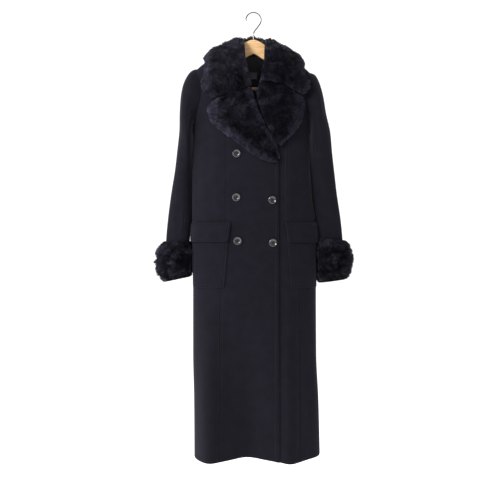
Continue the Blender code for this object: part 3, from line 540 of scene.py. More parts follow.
def mix(a: Grid, b: Grid, t: Grid) -> Grid:
    """Value at a share of the way from a to b."""
    return a + (b - a) * t


def unit(v: Grid) -> Grid:
    """Vectors at length one."""
    return v / np.maximum(np.linalg.norm(v, axis=-1, keepdims=True), 1e-12)


def curve_through(places: Sequence[float], values: Sequence[float]) -> Curve:
    """Smooth curve through rows, that never swings past them.

    Args:
        places: Where each row stands along its key.
        values: The value of each row.

    Returns:
        A function that reads the curve at any places, held at its ends.
    """
    order = np.argsort(places)
    at, to = np.asarray(places, float)[order], np.asarray(values, float)[order]
    steps = np.diff(to) / np.diff(at)
    before, after = steps[:-1], steps[1:]
    same_way = before * after > 0
    inner = np.where(same_way, 2 * before * after / np.where(same_way, before + after, 1), 0)
    slopes = np.concatenate([[steps[0]], inner, [steps[-1]]])

    def read(x: Grid) -> Grid:
        """Value of the curve at x."""
        x = np.clip(x, at[0], at[-1])
        i = np.clip(np.searchsorted(at, x, side="right") - 1, 0, len(at) - 2)
        span = at[i + 1] - at[i]
        t = (x - at[i]) / span
        return ((2 * t**3 - 3 * t**2 + 1) * to[i] + (t**3 - 2 * t**2 + t) * span * slopes[i]
                + (3 * t**2 - 2 * t**3) * to[i + 1] + (t**3 - t**2) * span * slopes[i + 1])

    return read


def column(table: Sequence[NamedTuple], key: str, value: str) -> Curve:
    """Curve of one column of a table along another."""
    return curve_through([getattr(row, key) for row in table],
                         [getattr(row, value) for row in table])


def line(pairs: Pairs) -> Curve:
    """Curve through pairs of a place and a value."""
    return curve_through(*zip(*pairs))


def through_rows(rows: Grid, places: Grid) -> Grid:
    """Smooth curve that passes the first row at place 0, the second at 1 and so on.

    Args:
        rows: Rows of points or values, first axis along the curve.
        places: Where to read the curve.

    Returns:
        One row for each place.
    """
    rows = np.asarray(rows, float)
    full = np.concatenate([[2 * rows[0] - rows[1]], rows, [2 * rows[-1] - rows[-2]]])
    i = np.minimum(np.asarray(places).astype(int), len(rows) - 2)
    t = (places - i).reshape(-1, *[1] * (rows.ndim - 1))
    a, b, c, d = full[i], full[i + 1], full[i + 2], full[i + 3]
    return 0.5 * (2 * b + (c - a) * t + (2 * a - 5 * b + 4 * c - d) * t**2
                  + (3 * b - a - 3 * c + d) * t**3)


def lengths_along(points: Grid) -> Grid:
    """Length of a polyline from its start to each of its points."""
    return np.concatenate([[0], np.cumsum(np.linalg.norm(np.diff(points, axis=0), axis=1))])


def walk(points: Grid, shares: Grid) -> Grid:
    """Points at shares of the length of a polyline, rounded at its corners."""
    lengths = lengths_along(points)
    return through_rows(points, np.interp(shares * lengths[-1], lengths, range(len(points))))


def grid_normals(grid: Grid, closed: bool) -> Grid:
    """Outward directions of a grid, whose rows run down and whose columns run across.

    Args:
        grid: Rows by columns by 3.
        closed: Whether each row's last point joins its first.

    Returns:
        A unit vector for each point, away from the middle of its row when closed, and
        otherwise turned by the grid's own order.
    """
    down = np.gradient(grid, axis=0)
    if closed:
        along = np.roll(grid, -1, axis=1) - np.roll(grid, 1, axis=1)
    else:
        along = np.gradient(grid, axis=1)
    normals = unit(np.cross(along, down))
    if closed:
        away = grid - grid.mean(axis=1, keepdims=True)
        normals *= np.where((normals * away).sum(axis=-1, keepdims=True) < 0, -1, 1)
    return normals


class CoatForm:
    """The form that all the cloth is cut from: a superellipse at each height."""

    def __init__(self) -> None:
        """Reads the tables into curves."""
        self._right, self._left, self._front, self._back = (
            column(LEVELS, "z", name) for name in ("right", "left", "front", "back"))
        self._drop, self._cut = line(HEM), line(ARMHOLE)
        self._ridge_z = np.linspace(LEVELS[0].z, -0.23, 600)

    def half_width(self, x: Grid, z: Grid) -> Grid:
        """Half width of the form on the side where x lies."""
        return np.where(x < 0, self._right(z), self._left(z))

    def depth(self, face: Face, x: Grid, z: Grid) -> Grid:
        """Depth of the form at its middle, with the folds that pass over x."""
        total = (self._front if face is Face.FRONT else self._back)(z)
        for fold in FOLDS:
            if fold.face is face:
                reach = ease((fold.top - z) / (fold.top - HEM_Z))
                total = total + fold.depth * reach * np.exp(-((x - fold.x) / fold.width) ** 2)
        return total

    def skin(self, face: Face, x: Grid, z: Grid) -> Grid:
        """Points of the form's outer surface at x and z."""
        x, z = np.broadcast_arrays(np.asarray(x, float), np.asarray(z, float))
        share = np.minimum(1.0, np.abs(x) / self.half_width(x, z))
        out = self.depth(face, x, z) * (1 - share ** ROUNDNESS) ** (1 / ROUNDNESS)
        return np.stack([x, -out if face is Face.FRONT else out, z], axis=-1)

    def value(self, p: Grid) -> Grid:
        """Below 0 inside the form and above 0 outside."""
        x, y, z = p[..., 0], p[..., 1], p[..., 2]
        depth = np.where(y < 0, self.depth(Face.FRONT, x, z), self.depth(Face.BACK, x, z))
        return ((np.abs(x) / self.half_width(x, z)) ** ROUNDNESS
                + (np.abs(y) / depth) ** ROUNDNESS - 1)

    def slope(self, p: Grid) -> Grid:
        """Gradient of the form's value."""
        step = 0.0004
        rises = [self.value(p + h) - self.value(p - h) for h in step * np.eye(3)]
        return np.stack(rises, -1) / (2 * step)

    def normal(self, p: Grid) -> Grid:
        """Outward direction of the form at points near its surface."""
        return unit(self.slope(p))

    def push_out(self, p: Grid, gap: Grid) -> Grid:
        """Moves points out of the form until they clear it by the gap."""
        moved = p.copy()
        for _ in range(12):
            slope = self.slope(moved)
            length = np.maximum(np.linalg.norm(slope, axis=-1), 1e-6)
            short = np.maximum(0, gap - self.value(moved) / length)
            moved += slope / length[..., None] * (short * 0.9)[..., None]
        return moved

    def ridge(self, x: Grid) -> Grid:
        """Height of the shoulder line, where front and back meet."""
        widths = np.where(np.asarray(x)[..., None] < 0, self._right(self._ridge_z),
                          self._left(self._ridge_z))
        flat = np.abs(np.atleast_1d(x)).ravel()
        rows = widths.reshape(-1, len(self._ridge_z))
        found = [np.interp(a, w, self._ridge_z) for a, w in zip(flat, rows)]
        return np.asarray(found).reshape(np.shape(x))

    def armhole_x(self, side: Side, z: Grid) -> Grid:
        """Where the armhole edge lies: its tip above it, the side seam below it."""
        tip = float(self.ridge(np.array(side.value * SHOULDER_TIP)))
        share = (tip - z) / (tip - ARMPIT_Z)
        edge = side.value * self._cut(share) * self.half_width(np.array(side.value), z)
        return np.where(z > tip, side.value * SHOULDER_TIP, edge)

    def top_edge(self, face: Face, x: Grid) -> Grid:
        """Height of a panel's top edge: the shoulder seam, or the back's neckline."""
        top = self.ridge(x)
        if face is Face.BACK:
            point = self.ridge(np.where(x < 0, -NECK_POINT, NECK_POINT))
            curve = mix(BACK_NECK_Z, point, (x / NECK_POINT) ** 2)
            top = np.where(np.abs(x) < NECK_POINT, curve, top)
        return top

    def hem_z(self, x: Grid) -> Grid:
        """Height of the hem."""
        return HEM_Z - self._drop(x)

    def drape(self, face: Face, x: Grid, z: Grid) -> Grid:
        """How far the cloth's creases stand off the form, fading at the side seams."""
        total = np.zeros(np.broadcast(x, z).shape)
        for crease in CREASES:
            if crease.face is face:
                total = total + line_relief(x, z, crease.x0, crease.z0, crease.x1, crease.z1,
                                            crease.width, crease.depth)
        return total * ease((1 - np.abs(x) / self.half_width(x, z)) / 0.08)

    def cloth(self, face: Face, x: Grid, z: Grid, lift: Grid) -> Grid:
        """Points that lie on the draped cloth, or above it by the lift."""
        base = self.skin(face, x, z)
        rise = self.drape(face, x, z) + lift
        return base + self.normal(base) * np.asarray(rise)[..., None]


def line_relief(u: Grid, v: Grid, u0: float, v0: float, u1: float, v1: float,
                width: float, depth: float) -> Grid:
    """Relief of a trough or ridge along a line, tapered at both ends."""
    du, dv = u1 - u0, v1 - v0
    length = math.hypot(du, dv)
    along = ((u - u0) * du + (v - v0) * dv) / length ** 2
    across = ((u - u0) * dv - (v - v0) * du) / length
    return depth * np.exp(-(across / width) ** 2) * ease(along / 0.35) * ease((1 - along) / 0.35)


def put(name: str, data: bpy.types.ID) -> Piece:
    """A new object in the scene, with its data."""
    obj = bpy.data.objects.new(name, data)
    bpy.context.scene.collection.objects.link(obj)
    return obj


def mesh_object(name: str, points: Grid, faces: Sequence[Sequence[int]],
                material: Material, uv: Optional[Grid] = None,
                angle: float = 60.0) -> Piece:
    """A smooth-shaded object from points and faces, with its place in its mesh.

    Args:
        name: Name of the piece.
        points: One row of three for each vertex.
        faces: Vertex numbers of each face.
        material: What it is dressed in.
        uv: Optional two values a vertex, kept as the UV map "fur".
        angle: Edges sharper than this many degrees stay sharp.

    Returns:
        The new object.
    """
    mesh = bpy.data.meshes.new(name)
    mesh.from_pydata(np.asarray(points).tolist(), [], np.asarray(faces).tolist())
    mesh.materials.append(material)
    mesh.shade_smooth()
    mesh.set_sharp_from_angle(angle=math.radians(angle))
    if uv is not None:
        corners = np.empty(len(mesh.loops), dtype=np.int32)
        mesh.loops.foreach_get("vertex_index", corners)
        layer = mesh.uv_layers.new(name="fur")
        layer.data.foreach_set("uv", np.asarray(uv, dtype=np.float32)[corners].ravel())
    return put(name, mesh)


def quads(rows: int, columns: int, closed: bool, start: int, flip: bool) -> Grid:
    """Faces of a grid of vertices that starts at a vertex number."""
    across = columns if closed else columns - 1
    i, j = np.meshgrid(np.arange(rows - 1), np.arange(across), indexing="ij")
    k = (j + 1) % columns
    ring = [i * columns + j, (i + 1) * columns + j, (i + 1) * columns + k, i * columns + k]
    if flip:
        ring.reverse()
    return start + np.stack(ring, axis=-1).reshape(-1, 4)


def shell(inner: Grid, outer: Grid, closed: bool = False) -> tuple[Grid, Grid]:
    """Points and outward faces of a solid between two grids of the same size.

    Args:
        inner: The grid on the hidden side.
        outer: The grid on the shown side.
        closed: Whether each row's last point joins its first.

    Returns:
        Points, and faces of four vertices.
    """
    rows, columns = outer.shape[:2]
    count = rows * columns
    points = np.concatenate([outer.reshape(-1, 3), inner.reshape(-1, 3)])
    flip = turned_in(inner, outer)
    faces = [quads(rows, columns, closed, 0, flip), quads(rows, columns, closed, count, not flip)]
    numbers = np.arange(count).reshape(rows, columns)
    rims = [(numbers[0], closed, flip), (numbers[-1], closed, not flip)]
    if not closed:
        rims += [(numbers[:, 0], False, not flip), (numbers[:, -1], False, flip)]
    for rim, joined, turned in rims:
        a = rim if joined else rim[:-1]
        b = np.roll(rim, -1) if joined else rim[1:]
        ring = [a, b, b + count, a + count]
        if turned:
            ring.reverse()
        faces.append(np.stack(ring, axis=-1))
    return points, np.concatenate(faces)


def turned_in(inner: Grid, outer: Grid) -> bool:
    """Whether the outer grid's own order makes its faces look inwards."""
    down = outer[1:, :-1] - outer[:-1, :-1]
    along = outer[:-1, 1:] - outer[:-1, :-1]
    facing = np.cross(down, along)
    return bool((facing * (outer - inner)[:-1, :-1]).sum() < 0)


def dress(obj: Piece, slot: str, *nodes: str) -> Piece:
    """Puts a piece on the coat's one body, in place of solids."""
    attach(obj, "root")
    if nodes:
        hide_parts(*nodes)
    return obj


def cloth_piece(name: str, inner: Grid, outer: Grid, material: Material,
                slot: str, node: str) -> Piece:
    """A dressed piece between its hidden and its shown grid, in place of a solid."""
    points, faces = shell(inner, outer)
    return dress(mesh_object(name, points, faces, material), slot, node)


def bump_at(distance: Grid, place: float, width: float) -> Grid:
    """A rounded bump of height 1 at a distance from an edge."""
    return np.exp(-((distance - place) / width) ** 2)


def sewn_edge(distance: Grid, kind: Edge) -> Grid:
    """Relief of the cloth at a distance from an edge: it rolls in, and a stitch line sinks."""
    relief = -SEAM_DIP * (1 - ease(distance / SEAM_REACH))
    if kind is not Edge.PLAIN:
        row = STITCH_LINES[kind]
        relief = relief - GROOVE * bump_at(distance, row, GROOVE_WIDTH)
        relief = relief + SWELLS[kind] * bump_at(distance, SWELL_PLACE * row, SWELL_WIDTH * row)
    return relief


def spaced(lengths: Grid, step: float, ends: tuple[Edge, Edge]) -> Grid:
    """Places along a row: even in its middle, close together where an edge is sewn.

    Args:
        lengths: Length along the row at evenly spaced shares of it.
        step: Spacing in the middle.
        ends: How the first and the last edge are sewn.

    Returns:
        Shares from 0 to 1.
    """
    total = lengths[-1]
    places: list[float] = []
    for kind, turn in zip(ends, (False, True)):
        own = EDGE_LINES + (FACED_LINES if kind is Edge.FACED else [])
        places += [total - d if turn else d for d in own]
    count = max(2, round((total - 2 * EDGE_BAND) / step))
    places += list(np.linspace(EDGE_BAND, total - EDGE_BAND, count + 1))
    return np.interp(np.sort(places), lengths, np.linspace(0, 1, len(lengths)))


class Stitching:
    """Topstitches of the whole coat: each piece's rows become one joined mesh."""

    def __init__(self, material: Material) -> None:
        """Starts with no rows."""
        self.material = material
        self.rows: dict[str, list[tuple[Grid, Grid]]] = {}

    def add(self, name: str, path: Grid, normals: Grid) -> None:
        """Puts a row of stitches along a path that lies on cloth.

        Args:
            name: Piece of stitching that the row belongs to.
            path: Points along the row.
            normals: Outward directions of the cloth at the points.
        """
        self.rows.setdefault(name, []).append((path, normals))

    def build(self) -> int:
        """Makes one object a piece, and returns how many stitches there are."""
        count = 0
        for name, rows in self.rows.items():
            shapes = [self._row(path, normals) for path, normals in rows]
            points = np.concatenate(shapes)
            stitches = len(points) // STITCH_POINTS
            faces = self._faces()[None] + STITCH_POINTS * np.arange(stitches)[:, None, None]
            obj = mesh_object(name, points, faces.reshape(-1, 3), self.material)
            dress(obj, "black_wool")
            count += stitches
        return count

    def _row(self, path: Grid, normals: Grid) -> Grid:
        """Vertices of all the stitches along one row, STITCH_POINTS for each."""
        lengths = lengths_along(path)
        middles = np.arange(STITCH_PITCH / 2, lengths[-1], STITCH_PITCH)

        def at(values: Grid, places: Grid) -> Grid:
            """Values of the row at lengths along it."""
            return np.stack([np.interp(places, lengths, values[:, k]) for k in range(3)], -1)

        along = unit(at(path, middles + 0.001) - at(path, middles - 0.001))
        up = unit(at(normals, middles))
        across = np.cross(along, up)
        base = at(path, middles) - up * STITCH_THICK * 0.25
        parts = [base - along * STITCH_LENGTH / 2]
        for share in (-0.30, 0.30):
            for turn in range(4):
                c, s = math.cos(turn * math.pi / 2), math.sin(turn * math.pi / 2)
                parts.append(base + along * STITCH_LENGTH * share
                             + (up * s * 0.9 + across * c) * STITCH_THICK)
        parts.append(base + along * STITCH_LENGTH / 2)
        return np.stack(parts, axis=1).reshape(-1, 3)

    @staticmethod
    def _faces() -> Grid:
        """Triangles of one stitch: a tip, a sleeve of eight and a tip."""
        faces = []
        for j in range(4):
            k = (j + 1) % 4
            faces += [(0, 1 + k, 1 + j), (1 + j, 1 + k, 5 + k), (1 + j, 5 + k, 5 + j),
                      (9, 5 + j, 5 + k)]
        return np.array(faces)


@dataclass
class Panel:
    """One panel of the body: where its edges run, and how they are sewn and turned."""

    name: str
    face: Face
    start: Curve
    end: Curve
    ends: tuple[Edge, Edge]
    inset: bool = False
    turned: tuple[bool, bool] = (False, False)


@dataclass
class BodyPanels:
    """Back, centre fronts and side fronts, cut from the form with a wall of cloth.

    The top edge's height is found in rounds from first_top on, and no seam sinks below deepest.
    """

    form: CoatForm
    material: Material
    stitching: Stitching
    wall: float = WALL
    deepest: float = -0.002
    first_top: float = -0.12
    rows_above: int = 26
    row_step: float = 0.0125
    column_step: float = 0.0068

    def panels(self) -> list[Panel]:
        """The five panels."""
        half = SEAM / 2

        def shifted(pairs: Pairs, shift: float) -> Curve:
            """Line of a seam, moved sideways by half the gap in it."""
            read = line(pairs)
            return lambda z: read(z) + shift

        right, left = (partial(self.form.armhole_x, side) for side in Side)
        seam, plain, faced = Edge.SEAM, Edge.PLAIN, Edge.FACED
        return [
            Panel("back", Face.BACK, right, left, (plain, plain), turned=(True, True)),
            Panel("right_side_front", Face.FRONT, right, shifted(RIGHT_PRINCESS, -half),
                  (plain, seam), turned=(True, False)),
            Panel("right_front", Face.FRONT, shifted(RIGHT_PRINCESS, half),
                  line(RIGHT_NECKLINE), (seam, faced)),
            Panel("left_front", Face.FRONT, line(LEFT_NECKLINE), shifted(LEFT_PRINCESS, -half),
                  (faced, seam), inset=True),
            Panel("left_side_front", Face.FRONT, shifted(LEFT_PRINCESS, half), left,
                  (seam, plain), turned=(False, True)),
        ]

    def _shares(self, panel: Panel) -> tuple[Grid, Grid]:
        """Shares across a panel, spaced by its length over the form at the waist.

        Args:
            panel: Its edges that are turned lie at a side seam, where the form turns away.

        Returns:
            The shares, and the length from the panel's first edge to each.
        """
        even = np.linspace(0, 1, 600)
        lean = {(False, False): even,
                (True, False): 1 - np.sin(np.pi / 2 * (1 - even)),
                (False, True): np.sin(np.pi / 2 * even),
                (True, True): 0.5 + 0.5 * np.sin(np.pi * (even - 0.5))}[panel.turned]
        z = np.full(len(lean), WAIST_Z)
        x = mix(panel.start(z), panel.end(z), lean)
        lengths = lengths_along(self.form.skin(panel.face, x, z))
        places = spaced(lengths, self.column_step, panel.ends)
        return np.interp(places, even, lean), np.interp(places, even, lengths)

    def _grid(self, panel: Panel, shares: Grid) -> tuple[Grid, Grid]:
        """Places x and z of a panel's grid, from its top edge to its hem."""
        top = np.full(len(shares), self.first_top)
        for _ in range(8):
            x = mix(panel.start(top), panel.end(top), shares)
            top = self.form.top_edge(panel.face, x)
        hem = np.full(len(shares), HEM_Z)
        hem = self.form.hem_z(mix(panel.start(hem), panel.end(hem), shares))
        above = 0.5 - 0.5 * np.cos(np.pi * np.arange(self.rows_above) / self.rows_above)
        heights = [mix(top, ARMPIT_Z, t) for t in above]
        count = round((ARMPIT_Z - HEM_Z) / self.row_step)
        heights += [mix(ARMPIT_Z, hem + HEM_ROWS[0], t) for t in np.arange(count) / count]
        heights += [hem + rise for rise in HEM_ROWS]
        z = np.stack(heights)
        return mix(panel.start(z), panel.end(z), shares[None]), z

    def build(self) -> list[Piece]:
        """Makes the panels and marks their rows of stitches."""
        objects = []
        for panel in self.panels():
            shares, lengths = self._shares(panel)
            x, z = self._grid(panel, shares)
            base = self.form.skin(panel.face, x, z)
            base[..., 1] += SEAM / 2 * (-1 if panel.face is Face.FRONT else 1)
            if panel.inset:
                base[..., 1] += (LAP_INSET * ease((LAP_INSET_X - x) / LAP_INSET_RUN)
                                 * ease((LAP_INSET_Z - z) / 0.05))
            normals = self.form.normal(base)
            rise = self.form.drape(panel.face, x, z)
            relief = (sewn_edge(lengths, panel.ends[0])
                      + sewn_edge(lengths[-1] - lengths, panel.ends[1]))
            relief = relief[None] + sewn_edge(z - z[-1:], Edge.PLAIN)
            relief = np.maximum(relief + sewn_edge(z[:1] - z, Edge.PLAIN), self.deepest)
            outer = base + normals * (rise + relief)[..., None]
            inner = base + normals * (rise - self.wall)[..., None]
            obj = cloth_piece(f"{panel.name}_cloth", inner, outer, self.material,
                              "black_wool", panel.name)
            self._stitch(panel, outer, normals, lengths, z)
            objects.append(obj)
        return objects

    def _stitch(self, panel: Panel, outer: Grid, normals: Grid, lengths: Grid,
                z: Grid) -> None:
        """Marks the rows of stitches beside a panel's sewn edges."""
        for kind, from_edge in zip(panel.ends, (lengths, lengths[-1] - lengths)):
            hidden = panel.inset and kind is Edge.FACED
            if kind is Edge.PLAIN or hidden:
                continue
            j = int(np.argmin(np.abs(from_edge - STITCH_LINES[kind])))
            rows = z[:, j] < (BREAK_Z if kind is Edge.FACED else STITCHES_TOP)
            self.stitching.add("seam_topstitching", outer[rows, j], normals[rows, j])


@dataclass
class Sleeves:
    """Two-piece sleeves: the upper one shows outside, the under one faces the body."""

    form: CoatForm
    material: Material
    wall: float = WALL
    angle_step: float = 0.0042
    rows_each: int = 9
    seam_turns: tuple[float, float] = (112.5, 247.5)
    crease_radius: float = 0.050
    panel_radius: float = 0.054

    @staticmethod
    def loop(ring: Grid, turns: Grid) -> Grid:
        """Flattened loops between outer and inner points, one for each ring.

        Args:
            ring: Rows of out_x, out_z, in_x, in_z, front, back, in_y.
            turns: Angles round it in radians, 0 outside and a quarter turn in front.

        Returns:
            Rings by angles by 3.
        """
        out_x, out_z, in_x, in_z, front, back, in_y = (ring[:, k, None] for k in range(7))
        c, s = np.cos(turns)[None], np.sin(turns)[None]
        across = 0.5 + 0.5 * np.sign(c) * np.abs(c) ** 0.9
        faces_front = np.mod(turns, 2 * np.pi) < np.pi
        reach = np.where(faces_front, front, back)
        y = -reach * np.sign(s) * np.abs(s) ** np.where(faces_front, 0.75, 0.85)
        y = y * np.where(faces_front, 1 + SLEEVE_SLANT * (1 - 2 * across), 1.0)
        y = y + mix(in_y, 0, across)
        return np.stack([mix(in_x, out_x, across), y, mix(in_z, out_z, across)], -1)

    def armhole(self, side: Side, turns: Grid) -> tuple[Grid, Grid]:
        """Points of the armhole edge round its angles, and the form's directions there."""
        tip = float(self.form.ridge(np.array(side.value * SHOULDER_TIP)))
        z = mix(ARMPIT_Z, tip, 0.5 + 0.5 * np.cos(turns))
        x = self.form.armhole_x(side, z)
        front = np.mod(turns, 2 * np.pi) < np.pi
        p = np.where(front[:, None], self.form.skin(Face.FRONT, x, z),
                     self.form.skin(Face.BACK, x, z))
        normals = self.form.normal(p)
        return p + [side.value * ARMHOLE_GAP, 0, 0], normals

    def surface(self, side: Side, turns: Grid) -> tuple[Grid, Grid]:
        """Outer points of a sleeve, creases and all, and its outward directions."""
        last = len(SLEEVES[side])
        places = np.linspace(0, last, last * self.rows_each + 1)
        places = np.sort(np.concatenate([places, [0.02, 0.06, 0.17]]))
        outer = self._plain(side, places, turns)
        all_round = np.linspace(0, 2 * np.pi, 96, endpoint=False)
        middle = self._plain(side, places, all_round).mean(axis=1)
        normals = self._directions(side, places, turns, outer, outer - middle[:, None])
        u = self.crease_radius * np.mod(turns, 2 * np.pi)[None] + 0 * outer[..., 0]
        v = np.broadcast_to(middle[:, 2, None], u.shape)
        relief = np.zeros(u.shape)
        for crease in SLEEVE_CREASES:
            if crease.side is side:
                u0, u1 = (self.crease_radius * math.radians(turn)
                          for turn in (crease.turn0, crease.turn1))
                relief += line_relief(u, v, u0, crease.z0, u1, crease.z1, crease.width,
                                      crease.depth)
        crown = 0.0022 * bump_at(places, 0.9, 0.7)[:, None] * ease(np.cos(turns) + 0.5)
        dip = SEAM_DIP * ease(1 - places / 0.25)[:, None]
        return outer + normals * (relief + crown - dip)[..., None], normals

    def _plain(self, side: Side, places: Grid, turns: Grid) -> Grid:
        """Points of a sleeve without its creases, at places down it and angles round it."""
        rings = self.loop(np.array(SLEEVES[side]), turns)
        return through_rows(np.concatenate([self.armhole(side, turns)[0][None], rings]), places)

    def _directions(self, side: Side, places: Grid, turns: Grid, outer: Grid,
                    away: Grid) -> Grid:
        """Outward directions of a sleeve, which start as the body's own at the armhole.

        Args:
            side: Which sleeve.
            places: Places down it, counted in rings from the armhole.
            turns: Angles round it in radians.
            outer: Its plain points there.
            away: From the sleeve's middle to each point.

        Returns:
            A unit vector for each point.
        """
        near = 0.02
        along = self._plain(side, places, turns + near) - self._plain(side, places, turns - near)
        normals = unit(np.cross(along, np.gradient(outer, axis=0)))
        normals *= np.where((normals * away).sum(-1, keepdims=True) < 0, -1, 1)
        blend = ease((-np.cos(turns) - 0.2) / 0.6)[:, None]
        first = unit(mix(self.armhole(side, turns)[1], normals[0], blend))
        return unit(mix(normals, first[None], ease(1 - places / 0.9)[:, None, None]))

    def build(self) -> list[Piece]:
        """Makes an upper and an under sleeve on each side."""
        objects = []
        first, last = (math.radians(turn) for turn in self.seam_turns)
        for side in Side:
            for piece, start, end in (("upper", last, first + 2 * math.pi),
                                      ("under", first, last)):
                name = f"{side.word}_sleeve_{piece}"
                total = (end - start) * self.panel_radius
                shares = spaced(np.linspace(0, total, 400), self.angle_step,
                                (Edge.PLAIN, Edge.PLAIN))
                gap = SEAM / self.panel_radius
                turns = mix(start + gap, end - gap, shares)
                outer, normals = self.surface(side, turns)
                edge = np.minimum(shares, 1 - shares) * total
                relief = sewn_edge(edge, Edge.PLAIN)
                inner = outer - normals * self.wall
                outer = outer + normals * relief[None, :, None]
                obj = cloth_piece(f"{name}_cloth", inner, outer, self.material, "black_wool",
                                  name)
                objects.append(obj)
        return objects


@dataclass
class Pockets:
    """Patch pockets, and the flaps that are sewn above them and hang over their mouths."""

    form: CoatForm
    material: Material
    stitching: Stitching
    pocket_wall: float = 0.0026
    flap_wall: float = 0.0030
    corner: float = 0.0075
    step: float = 0.0045
    width: float = 0.108
    flap_kick: float = 0.0030
    first_turn: float = math.radians(26)

    def _across(self, patch: Patch, side: Side, z: Grid, share: Grid) -> Grid:
        """Places across a patch, from its edge near the front to its edge near the side."""
        fall = (z - patch.top) / (patch.bottom - patch.top)
        inner = mix(patch.face_top, patch.face_bottom, fall)
        low = math.sin(self.first_turn) ** (2 / ROUNDNESS)
        angle = mix(self.first_turn, math.pi / 2, 5 / 6)
        reach = (math.sin(angle) ** (2 / ROUNDNESS) - low) / (1 - low)
        outer = mix(line(PRINCESS[side])(z), self.form.armhole_x(side, z), reach)
        return mix(inner, outer, share)

    def _places(self, total: float) -> Grid:
        """Shares from 0 to 1 over a length, close together near both ends."""
        count = max(2, round((total - 2 * PATCH_BAND) / self.step))
        middle = np.linspace(PATCH_BAND, total - PATCH_BAND, count)
        return np.concatenate([PATCH_LINES, middle, total - np.array(PATCH_LINES[::-1])]) / total

    def patch(self, patch: Patch, side: Side, wall: float, flap: bool) -> tuple[Grid, Grid]:
        """Inner and outer grid of a patch, with its corners rounded.

        Args:
            patch: Where it lies.
            side: On which side of the coat.
            wall: How thick it is.
            flap: Whether it is a flap, with a free lower edge, or else a pocket.

        Returns:
            The two grids, from the patch's top to its bottom and from front to side.
        """
        height, width = patch.top - patch.bottom, self.width
        v, u = self._places(height), self._places(width)
        up = height * (1 - v)
        down = height * v
        short = np.maximum(0, self.corner - (up if flap else np.minimum(up, down)))
        pull = self.corner - np.sqrt(np.maximum(0, self.corner ** 2 - short ** 2))
        pull *= np.where(down < up, 0.3, 1.0)
        share = pull[:, None] / width + u[None] * (1 - 2 * pull[:, None] / width)
        z = mix(patch.top, patch.bottom, v)[:, None] + 0 * share
        x = self._across(patch, side, z, share)
        rise = np.full(z.shape, PATCH_EASE)
        if flap:
            hang = ease((patch.top - z) / (patch.top - patch.fold))
            kick = self.flap_kick * ease((patch.fold - z) / (patch.fold - patch.bottom))
            rise = PATCH_EASE + hang * (PATCH_EASE + self.pocket_wall) + kick
            wave = 0.0007 * np.sin(5.0 * share * np.pi + 1.0)
            rise = rise + wave * ease((patch.fold - z) / 0.04)
        else:
            mouth = ease(1 - (patch.top - z) / 0.05)
            rise = rise + 0.0004 * mouth * np.sin(np.pi * share)
        edge = np.minimum(np.minimum(up, down)[:, None],
                          np.minimum(u, 1 - u)[None] * width + 0.7 * pull[:, None])
        relief = -0.0013 * (1 - ease(edge / 0.0030))
        relief = relief - 0.0010 * bump_at(edge, PATCH_STITCH, GROOVE_WIDTH)
        relief = relief + 0.0007 * bump_at(edge, SWELL_PLACE * PATCH_STITCH, 0.0014)
        base = self.form.cloth(Face.FRONT, x, z, 0.0)
        normals = self.form.normal(base)
        inner = base + normals * rise[..., None]
        outer = base + normals * (rise + wall + relief)[..., None]
        self._stitch(outer, normals, flap)
        return inner, outer

    def _stitch(self, outer: Grid, normals: Grid, flap: bool) -> None:
        """Marks the stitches that run inside a patch's edges."""
        k = PATCH_LINES.index(PATCH_STITCH)
        last_row, last_column = outer.shape[0] - 1 - k, outer.shape[1] - 1 - k
        first_row = k if flap else 0
        down = [(i, k) for i in range(first_row, last_row + 1)]
        across = [(last_row, j) for j in range(k, last_column + 1)]
        back = [(i, last_column) for i in range(last_row, first_row - 1, -1)]
        rows = [down, across, back]
        if flap:
            rows.append([(k, j) for j in range(k, last_column + 1)])
        for row in rows:
            i, j = np.array(row).T
            self.stitching.add("pocket_topstitching", outer[i, j], normals[i, j])

    def build(self) -> list[Piece]:
        """Makes both pockets and both flaps."""
        objects = []
        for patches, wall, flap in ((POCKETS, self.pocket_wall, False),
                                    (FLAPS, self.flap_wall, True)):
            for patch, side in zip(patches, Side):
                inner, outer = self.patch(patch, side, wall, flap)
                obj = cloth_piece(f"{patch.name}_cloth", inner, outer, self.material,
                                  "black_wool", patch.name)
                objects.append(obj)
        return objects


def pile_profile(share: Grid, power: float = 2.6) -> Grid:
    """How full a pile stands between two edges: thin at both and full between them."""
    return np.sqrt(np.maximum(0.0, 1 - np.abs(2 * share - 1) ** power))


def soft_noise(points: Grid, scale: float, offset: float) -> Grid:
    """Smooth noise from -1 to 1 at points, of a cell size of 1 over the scale."""
    flat = (points.reshape(-1, 3) * scale + offset).tolist()
    return np.array([noise.noise(p) for p in flat]).reshape(points.shape[:-1])


